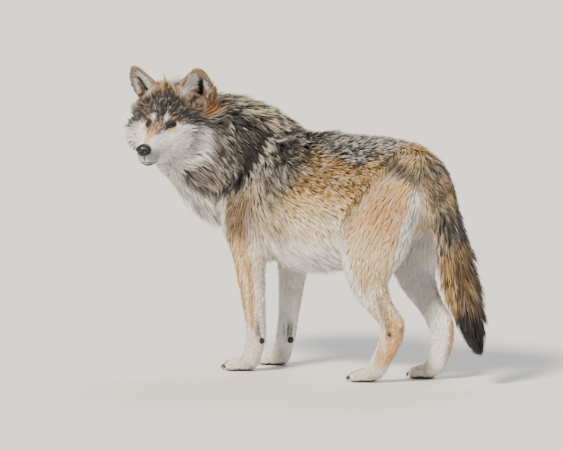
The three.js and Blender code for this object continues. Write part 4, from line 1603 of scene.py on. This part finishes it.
def fur_material(name, relief_mm=0.0):
    """Keratin in the colours that the mesh carries, lighter and darker by a fifth in fine specks."""
    material = new_material(name)
    tint = add_node(material, "ShaderNodeVertexColor", {"layer_name": "coat_colour"})
    place = add_node(material, "ShaderNodeTexCoord")
    grain = add_node(
        material,
        "ShaderNodeTexNoise",
        {"Scale": HAIR_GRAIN, "Detail": 3.0},
        {"Vector": place.outputs["Object"]},
    )
    ramp = add_node(
        material,
        "ShaderNodeMapRange",
        {"To Min": 0.8, "To Max": 1.15},
        {"Value": grain.outputs["Fac"]},
    )
    shade = add_node(
        material,
        "ShaderNodeHueSaturation",
        {},
        {"Color": tint.outputs["Color"], "Value": ramp.outputs["Result"]},
    )
    links = {"Base Color": shade.outputs["Color"]}
    if relief_mm:
        relief = add_node(
            material,
            "ShaderNodeBump",
            {"Strength": 1.0, "Distance": relief_mm / 1000},
            {"Height": grain.outputs["Fac"]},
        )
        links["Normal"] = relief.outputs["Normal"]
    hair = add_node(
        material,
        "ShaderNodeBsdfPrincipled",
        {"Roughness": 0.62, "IOR": 1.5, "Specular IOR Level": 0.3, "Sheen Weight": 0.15},
        links,
    )
    return finish_material(material, hair)


fur = fur_material("keratin_guard_hair")
underfur = fur_material("dense_matt_underfur", 0.8)
print("fur materials:", fur.name, underfur.name)

# %% [markdown]
# ## The coat's pieces
# A coat of one million triangles is hard to handle whole. It is cut where a groomer would part it: by
# part of the body and by side, with the trunk in four.


# %% Which piece each lock is in
TWO_SIDED = ("skull", "neck", "throat", "hind", "fore")
FORE_OF_TRUNK = -110  # millimetres along the body


def piece_of_lock():
    """The name of the coat piece that each lock belongs to."""
    names = np.array(kinds)[main_line]
    on_head = np.isin(names, ["skull", "muzzle", "ear"])
    across_middle = np.where(on_head, root_head[:, 1], root_body[:, 1])
    side = np.where(across_middle > 0, "left", "right")
    part = np.where(root_body[:, 0] > FORE_OF_TRUNK, "fore", "rear")
    whole = []
    for n, p, s in zip(names, part, side):
        if n == "trunk":
            n = f"trunk_{p}"
        whole.append(f"{n}_{s}" if n in TWO_SIDED or n.startswith("trunk") else str(n))
    return np.array(whole, dtype=object)


lock_piece = piece_of_lock()
print("pieces of coat:", len(set(lock_piece)))

# %% Make the pieces
SLOTS = {"trunk": "saddle_coat", "neck": "mane_coat", "throat": "mane_coat", "ear": "mane_coat"}
SLOTS |= {"skull": "pale_coat", "muzzle": "pale_coat", "paw": "pale_coat", "tail": "tail_coat"}
SLOTS |= {"fore": "leg_coat", "hind": "leg_coat"}
SHORT = ("muzzle", "ear", "paw", "fore_left", "fore_right", "hind_left", "hind_right")
CLUMP = 0.55  # how far a blade has leant in to its lock's middle by the tip
spread = np.sqrt(BLADES_PER_LOCK / (root_weights @ density * 1e4) / math.pi) * 1.15
coat_triangles = 0
for name in sorted(set(lock_piece)):
    locks = np.nonzero(lock_piece == name)[0]
    lock = np.repeat(locks, BLADES_PER_LOCK)
    rows = SHORT_ROWS if name in SHORT else LONG_ROWS
    low, high = flat_places[locks].min(0), flat_places[locks].max(0)
    corners_now = grow(lock, rows, spread, CLUMP)
    colours_now = blade_colours(lock, rows)
    uvs = blade_uvs(lock, rows, low, high)
    mesh, count = blade_mesh("coat_" + name, corners_now, colours_now, uvs)
    mesh.materials.append(fur)
    piece = mesh_object("coat_" + name, mesh)
    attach(piece, "root")
    coat_triangles += count
    print("coat_" + name, "triangles:", count)
print("coat triangles in all:", coat_triangles)

# %% [markdown]
# ## Eyes
# The globe is wet and very glossy: a round black pupil, an amber iris with a dark edge, and a brownish
# white that hardly shows. Its clear front bulges a little. A clear shell over a flat iris would be
# truer close by. Painting the iris by its distance from the pupil's middle is one surface only, and at
# 26 mm across nobody sees the difference. The wet film gives the eye one sharp spark of light, and that
# spark is what makes the animal look alive.


# %% A sphere and its values
def sphere_points(around, rings_count):
    """Unit directions in rings from pole to pole, with x as the pole, and the quads between them."""
    t = (np.arange(rings_count + 1) / rings_count * math.pi)[:, None]
    f = (np.arange(around) / around * 2 * math.pi)[None, :]
    d = np.stack(np.broadcast_arrays(np.cos(t), np.sin(t) * np.cos(f), np.sin(t) * np.sin(f)), 2)
    return d.reshape(-1, 3), ring_quads(rings_count + 1, around, 0)


def add_values(mesh, name, values):
    layer = mesh.attributes.new(name, "FLOAT", "POINT")
    layer.data.foreach_set("value", values.astype(np.float32))


print("points of a globe:", len(sphere_points(48, 40)[0]))


# %% [markdown]
# ### The iris
# Fine fibres run through the amber. They are too fine to show one by one, so noise of their width makes
# the colour lively: a third lighter or darker.

# %% The iris
FIBRES = 1400.0  # per metre: fibres about 0.7 mm apart
# Colours by the distance from the pupil's middle, as shares of 10 mm: the pupil, the amber ring with
# its light middle, the dark edge and the brownish white.
IRIS = [(0.0, "#050404"), (0.28, "#060505"), (0.31, "#2b1c0d"), (0.5, "#4e371b"), (0.62, "#2f2012")]
IRIS += [(0.7, "#1a110b"), (0.8, "#4a382c"), (1.0, "#3a2a22")]


def eye_material():
    """Living tissue under a film of tears, hence the very low roughness."""
    material = new_material("wet_amber_iris")
    gap = add_node(material, "ShaderNodeAttribute", {"attribute_name": "from_pupil"})
    place = add_node(material, "ShaderNodeTexCoord")
    fibres = add_node(
        material,
        "ShaderNodeTexNoise",
        {"Scale": FIBRES, "Detail": 3.0},
        {"Vector": place.outputs["Object"]},
    )
    ramp = add_node(material, "ShaderNodeValToRGB", {}, {"Fac": gap.outputs["Fac"]})
    ramp.color_ramp.elements[0].color = (*linear(IRIS[0][1]), 1)
    ramp.color_ramp.elements[1].color = (*linear(IRIS[-1][1]), 1)
    for at, colour in IRIS[1:-1]:
        ramp.color_ramp.elements.new(at).color = (*linear(colour), 1)
    shade = add_node(
        material,
        "ShaderNodeMapRange",
        {"To Min": 0.7, "To Max": 1.3},
        {"Value": fibres.outputs["Fac"]},
    )
    tone = add_node(
        material,
        "ShaderNodeHueSaturation",
        {},
        {"Color": ramp.outputs["Color"], "Value": shade.outputs["Result"]},
    )
    wet = add_node(
        material,
        "ShaderNodeBsdfPrincipled",
        {"Roughness": 0.05, "IOR": 1.376},
        {"Base Color": tone.outputs["Color"]},
    )
    return finish_material(material, wet)


iris = eye_material()
print("stops in the iris:", len(IRIS))

# %% Globes
BULGE, BULGE_HALF = 0.8, 6.0  # the clear front's height and its radius
for eye, node in zip(eyes, ("eye_left", "eye_right")):
    ball, quads = sphere_points(48, 40)
    axes = np.stack([eye.g, eye.u, eye.v])
    from_pupil = np.arccos(np.clip(ball[:, 0], -1, 1)) * EYE_RADIUS
    bulge = BULGE * np.exp(-((from_pupil / BULGE_HALF) ** 4))
    globe = eye.centre + (ball * (EYE_RADIUS + bulge)[:, None]) @ axes / 1000
    mesh = mesh_from("globe_" + node, globe, quads)
    add_values(mesh, "from_pupil", from_pupil / 10)
    mesh.materials.append(iris)
    globe_piece = mesh_object("globe_" + node, mesh)
    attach(globe_piece, "root")
    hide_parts(node)
print("globes: 2, radius", EYE_RADIUS, "mm")

# %% [markdown]
# ## Nose, lips and pads
# Bare leather: black, a little moist, and pebbled by fine furrows. The pebbles could be modelled, but at
# about a millimetre across a relief in the material does as well. Cells of noise give it: raised plates
# with painted shade in the furrows between them, so that the shine breaks up into small grains. A nose
# is kept wet by its own glands and by licking. The pads are dry and worn, so their cells are larger and
# their shine is dull.


# %% Leather
FURROW_RELIEF = 0.0004  # metres


def leather_material(name, colour, furrow_mm, roughness):
    """Bare skin with a horny outer layer; furrow_mm is the distance from one furrow to the next."""
    material = new_material(name)
    place = add_node(material, "ShaderNodeTexCoord")
    pebbles = add_node(
        material,
        "ShaderNodeTexVoronoi",
        {"feature": "DISTANCE_TO_EDGE", "Scale": 1000 / furrow_mm},
        {"Vector": place.outputs["Object"]},
    )
    relief = add_node(
        material,
        "ShaderNodeBump",
        {"Strength": 0.6, "Distance": FURROW_RELIEF},
        {"Height": pebbles.outputs["Distance"]},
    )
    # Painted shade: the furrows between the plates are at half the leather's colour.
    ramp = add_node(material, "ShaderNodeValToRGB", {}, {"Fac": pebbles.outputs["Distance"]})
    ramp.color_ramp.elements[0].color = (*linear(colour) * 0.5, 1)
    ramp.color_ramp.elements[1].color = (*linear(colour), 1)
    ramp.color_ramp.elements[1].position = 0.25
    skin_like = add_node(
        material,
        "ShaderNodeBsdfPrincipled",
        {"Roughness": roughness, "IOR": 1.45},
        {"Base Color": ramp.outputs["Color"], "Normal": relief.outputs["Normal"]},
    )
    return finish_material(material, skin_like)


nose_leather = leather_material("moist_nose_leather", "#191718", 1.2, 0.36)
pad_leather = leather_material("dry_pad_leather", "#211d1c", 1.6, 0.6)
print("leathers:", nose_leather.name, pad_leather.name)

# %% [markdown]
# ### The nose
# It is one swelling with two comma-shaped nostrils, each a pit that ends in a slit at the side, a wing
# over the slit and a furrow down the middle. Cutting real holes would need the passages behind them. The
# nostrils are deep dents, and their shade makes them read as open.


# %% The nose
def nose_shape():
    ball, quads = sphere_points(96, 64)
    fore, side, high = ball.T
    front = np.sign(fore) * np.abs(fore) ** 0.8
    wide = 20.5 - 3.5 * np.clip(-high, 0, 1) - 3.0 * np.clip(-fore, 0, 1)
    p = np.stack([114 + 17.5 * front - 2.5 * high, wide * side, -42 + 16.5 * high], 1)
    inward = unit(p - np.array([112.0, 0, -42.0]))
    s = both_sides(p)
    pit = 5.5 * np.exp(-(((s - [131, 8.5, -41]) / [9, 4.0, 4.2]) ** 2).sum(1))
    slit = 3.2 * np.exp(-(((s - [122, 17.5, -46]) / [8, 6, 2.0]) ** 2).sum(1))
    wing = 1.6 * np.exp(-(((s - [122, 16, -38]) / [8, 6, 5]) ** 2).sum(1))
    furrow = 1.5 * np.exp(-((p[:, 1] / 1.3) ** 2)) * soft(-p[:, 2], 36, 48) * soft(p[:, 0], 112, 124)
    p = p - inward * (pit + slit + furrow - wing)[:, None]
    return p, quads


nose_points, nose_quads = nose_shape()
nose_mesh = mesh_from("nose_leather", from_head(nose_points), nose_quads)
nose_mesh.materials.append(nose_leather)
nose_piece = mesh_object("nose_leather", nose_mesh)
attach(nose_piece, "root")
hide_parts("nose")
print("nose, mm across:", round(float(np.ptp(nose_points[:, 1])), 1))

# %% [markdown]
# ### The lips
# A closed mouth shows as a thin black line of bare lip, widest below the nose. The groove is already in
# the skin. A tube laid in it gives the line its own rounded edge.


# %% Lips
def tube(path, radius, spokes=10):
    """A round tube along a path, its radius given at each point."""
    along_path = unit(np.gradient(path, axis=0))
    side = unit(np.cross(along_path, UP))
    top = np.cross(side, along_path)
    turn = np.arange(spokes) / spokes * 2 * math.pi
    ring = np.cos(turn)[None, :, None] * side[:, None]
    ring = ring + np.sin(turn)[None, :, None] * top[:, None]
    surface = path[:, None] + ring * radius[:, None, None]
    return surface.reshape(-1, 3), ring_quads(len(path), spokes, 0)


head_surface = BVHTree.FromPolygons([Vector(q) for q in points], head_quads.tolist())


def lip_path():
    """The mouth's edge, from the left corner round the front to the right corner, on the skin."""
    at, knots = np.linspace(0, len(MOUTH) - 1, 40), np.arange(len(MOUTH))
    half = np.stack([np.interp(at, knots, MOUTH[:, c]) for c in range(3)], 1)
    whole = np.concatenate([half, half[-2::-1] * [1, -1, 1]])
    whole = relaxed_path(whole, 6)
    found = [head_surface.find_nearest(Vector(q))[0] for q in from_head(whole)]
    return np.array([list(q) for q in found])


def relaxed_path(path, rounds):
    for _ in range(rounds):
        path = np.concatenate([path[:1], (path[:-2] + 2 * path[1:-1] + path[2:]) / 4, path[-1:]])
    return path


lip_line = relaxed_path(lip_path(), 3)
front = to_head(lip_line)[:, 0]
lip_points, lip_quads = tube(lip_line, (0.6 + 1.1 * soft(front, 40, 105)) / 1000)
lips_mesh = mesh_from("lips", lip_points, lip_quads)
lips_mesh.materials.append(nose_leather)
lips = mesh_object("lips", lips_mesh)
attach(lips, "root")
print("places along the lips:", len(lip_line))

# %% [markdown]
# ### Wrist pads
# A wolf has a small bare pad behind each wrist, which brakes it on steep ground. Half of an oval of pad
# leather shows through the hair.


# %% Pads
PAD_RADII = (9, 9, 10)


def pad(name, centre, radii):
    ball, quads = sphere_points(24, 16)
    mesh = mesh_from(name, from_body(np.array(centre) + ball * radii), quads)
    mesh.materials.append(pad_leather)
    item = mesh_object(name, mesh)
    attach(item, "root")


pad("carpal_pad_left", (169, 83, 87), PAD_RADII)
pad("carpal_pad_right", (177, -67, 73), PAD_RADII)
print("wrist pads, mm across:", 2 * PAD_RADII[0])

# %% [markdown]
# ## Claws
# Claws are horn, laid down in layers and worn smooth on the ground: dark, with paler clouds, and
# glossier than the hair around them. A bent cone would do from afar. Each is a tube that bends down over
# the toe's end and narrows to a blunt tip, so that its outline holds close by too.


# %% Claw horn
HORN_CLOUDS = 260.0  # per metre: clouds about 4 mm across


def claw_material():
    """Worn horn; its low roughness gives the eye a small clear glint on each claw."""
    material = new_material("claw_horn")
    place = add_node(material, "ShaderNodeTexCoord")
    growth = add_node(
        material,
        "ShaderNodeTexNoise",
        {"Scale": HORN_CLOUDS, "Detail": 4.0},
        {"Vector": place.outputs["Object"]},
    )
    ramp = add_node(material, "ShaderNodeValToRGB", {}, {"Fac": growth.outputs["Fac"]})
    ramp.color_ramp.elements[0].color = (*linear("#1c1815"), 1)
    ramp.color_ramp.elements[1].color = (*linear("#4a4038"), 1)
    horn = add_node(
        material,
        "ShaderNodeBsdfPrincipled",
        {"Roughness": 0.38, "IOR": 1.54},
        {"Base Color": ramp.outputs["Color"]},
    )
    return finish_material(material, horn)


horn_finish = claw_material()
print("claw material:", horn_finish.name)

# %% Claws
# Along a claw: its place ahead of the toe's knuckle, its share of the toe's place across, its height.
CLAW_PATH = [(-6, 1, 15), (4, 1, 14.5), (10, 1.03, 9.5), (13, 1.05, 2)]
CLAW_STEPS = 13
CLAW_TAPER = ([0, 0.4, 0.75, 1], [3.6, 3.4, 2.4, 0.4])  # share of its length, and radius
claw_points, claw_quads, first = [], [], 0
for x, y, turn, length in PAWS.values():
    for run, side in TOES:
        start, out = (run + 0.15) * length, side * PAW_WIDTH * length
        knots = np.array([(start + ahead_by, out * wider, z) for ahead_by, wider, z in CLAW_PATH])
        at = np.linspace(0, len(knots) - 1, CLAW_STEPS)
        path = np.stack([np.interp(at, np.arange(len(knots)), knots[:, c]) for c in range(3)], 1)
        path = relaxed_path(path, 3)
        radius = np.interp(np.linspace(0, 1, CLAW_STEPS), *CLAW_TAPER) / 1000
        ring, quads = tube(from_body(from_paw(path, x, y, turn)), radius, 12)
        claw_points.append(ring)
        claw_quads += [[first + k for k in quad] for quad in quads]
        first += len(ring)
claws_mesh = mesh_from("claws", np.concatenate(claw_points), claw_quads)
claws_mesh.materials.append(horn_finish)
claws = mesh_object("claws", claws_mesh)
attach(claws, "root")
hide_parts(*[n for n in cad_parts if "claw" in n])
print("claws:", len(TOES) * len(PAWS))

# %% [markdown]
# ## Hair in the ears
# Long pale hair grows from both edges of the ear's bowl and fans over it. Between the two fans the
# ear's deep opening shows as a black slit of painted shade. The locks' rule can't make this hair, since
# it doesn't lie on the skin but bridges the bowl. So each blade is placed by itself, just ahead of the
# skin behind it.

# %% The ear's bowl
bowl = BVHTree.FromPolygons([Vector(q) for q in points], skin_quads.tolist())


EAR_DEPTH = -85.0  # where the inner face is taken to be if no skin is found


def bowl_front(y, z):
    """How far ahead the ear's inner face is, in the head's frame, at these places."""
    found = []
    for a, b in zip(y, z):
        hit = bowl.ray_cast(Vector(from_head((-20.0, a, b))), Vector(-HEAD_AXES[0]), 0.14)
        found.append(EAR_DEPTH if hit[0] is None else to_head(np.array(hit[0]))[0])
    return np.array(found)


FANS = [  # edge's first and last place, inward reach, direction, length, count
    ((40, 62), (60, 106), 16, (0.82, 0.57), 30, 420),
    ((50, 30), (84, 12), 12, (0.35, 0.94), 20, 260),
    ((113, 48), (114, 92), 7, (-0.8, 0.6), 17, 240),
]
print("hairs in each ear:", sum(fan[-1] for fan in FANS))


# %% Fans of hair
def ear_hair(side):
    y, z, dy, dz, long = [], [], [], [], []
    for a, b, inward, direction, length, count in FANS:
        t = rng.random(count)
        turn = math.atan2(direction[1], direction[0]) + rng.normal(0, 0.22, count)
        y.append(a[0] + (b[0] - a[0]) * t + inward * rng.random(count) * direction[0])
        z.append(a[1] + (b[1] - a[1]) * t + inward * rng.random(count) * direction[1])
        dy.append(np.cos(turn))
        dz.append(np.sin(turn))
        long.append(length * (0.6 + 0.5 * rng.random(count)))
    y, z, dy, dz, long = (np.concatenate(v) for v in (y, z, dy, dz, long))
    rows = SHORT_ROWS
    half = 0.5 * (0.7 + 0.6 * rng.random(len(y)))
    corners_now = np.empty((len(y), 2 * len(rows) - 1, 3))
    for k, s in enumerate(rows):
        a, b = y + dy * long * s, z + dz * long * s
        x = bowl_front(a * side, b) + 1.0 + 5.0 * math.sin(math.pi * 0.62 * s) + 1.5 * rng.random(len(y))
        w = half * (1 - 0.3 * s)
        if k == len(rows) - 1:
            corners_now[:, 2 * k] = np.stack([x, a, b], 1)
        else:
            corners_now[:, 2 * k] = np.stack([x, a - dz * w, b + dy * w], 1)
            corners_now[:, 2 * k + 1] = np.stack([x, a + dz * w, b - dy * w], 1)
    corners_now[:, :, 1] *= side
    tone = rng.random(len(y))[:, None]
    base = PAINTS["grizzle"] * (1 - tone) + PAINTS["white"] * tone
    base = np.where((z < 42)[:, None] & (y < 100)[:, None], PAINTS["brown"] * (0.7 + tone), base)
    ends = np.where(rng.random(len(y))[:, None] < 0.2, PAINTS["grey"], base)
    colours_now = np.ones((len(y), 2 * len(rows) - 1, 4), np.float32)
    colours_now[:, :, :3] = base[:, None]
    # Painted shade at the roots of the ear's hair: the first row is at under half its colour.
    colours_now[:, 0:2, :3] = (base * 0.45)[:, None]
    colours_now[:, -1, :3] = ends
    spot = np.stack([(y - 30) / 110, z / 150], 1) * 0.98 + 0.005
    uv = np.repeat(spot[:, None], 2 * len(rows) - 1, 1).astype(np.float32)
    for k, s in enumerate(rows):
        uv[:, 2 * k, 0] += s * PATCH
        if k < len(rows) - 1:
            uv[:, 2 * k + 1] += [s * PATCH, PATCH]
    uv[:, -1, 1] += PATCH / 2
    return from_head(corners_now), colours_now, uv


for side, name in ((1, "left"), (-1, "right")):
    mesh, count = blade_mesh("coat_ear_hair_" + name, *ear_hair(side))
    mesh.materials.append(fur)
    piece = mesh_object("coat_ear_hair_" + name, mesh)
    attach(piece, "root")
    coat_triangles += count
print("coat triangles with the ears' hair:", coat_triangles)

# %% [markdown]
# ## The skin under the coat
# Between the locks the underfur shows. It takes the same markings, a little darker where the tips are
# black, because there the hair casts more shade on itself. With the skin in place the wolf is whole.

# %% The skin under the coat, and the end
skin = mesh_object("skin", skin_mesh)
tint = skin_mesh.color_attributes.new("coat_colour", "FLOAT_COLOR", "POINT")
under = np.ones((len(points), 4), np.float32)
under[:, :3] = painted.main * (0.88 - 0.4 * painted.dark[:, None])
tint.data.foreach_set("color", under.ravel())
skin_mesh.materials.append(underfur)
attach(skin, "root")
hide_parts(*[n for n in FLESH if not n.startswith("eye")])
print("skin:", len(points), "points under", coat_triangles, "triangles of coat")
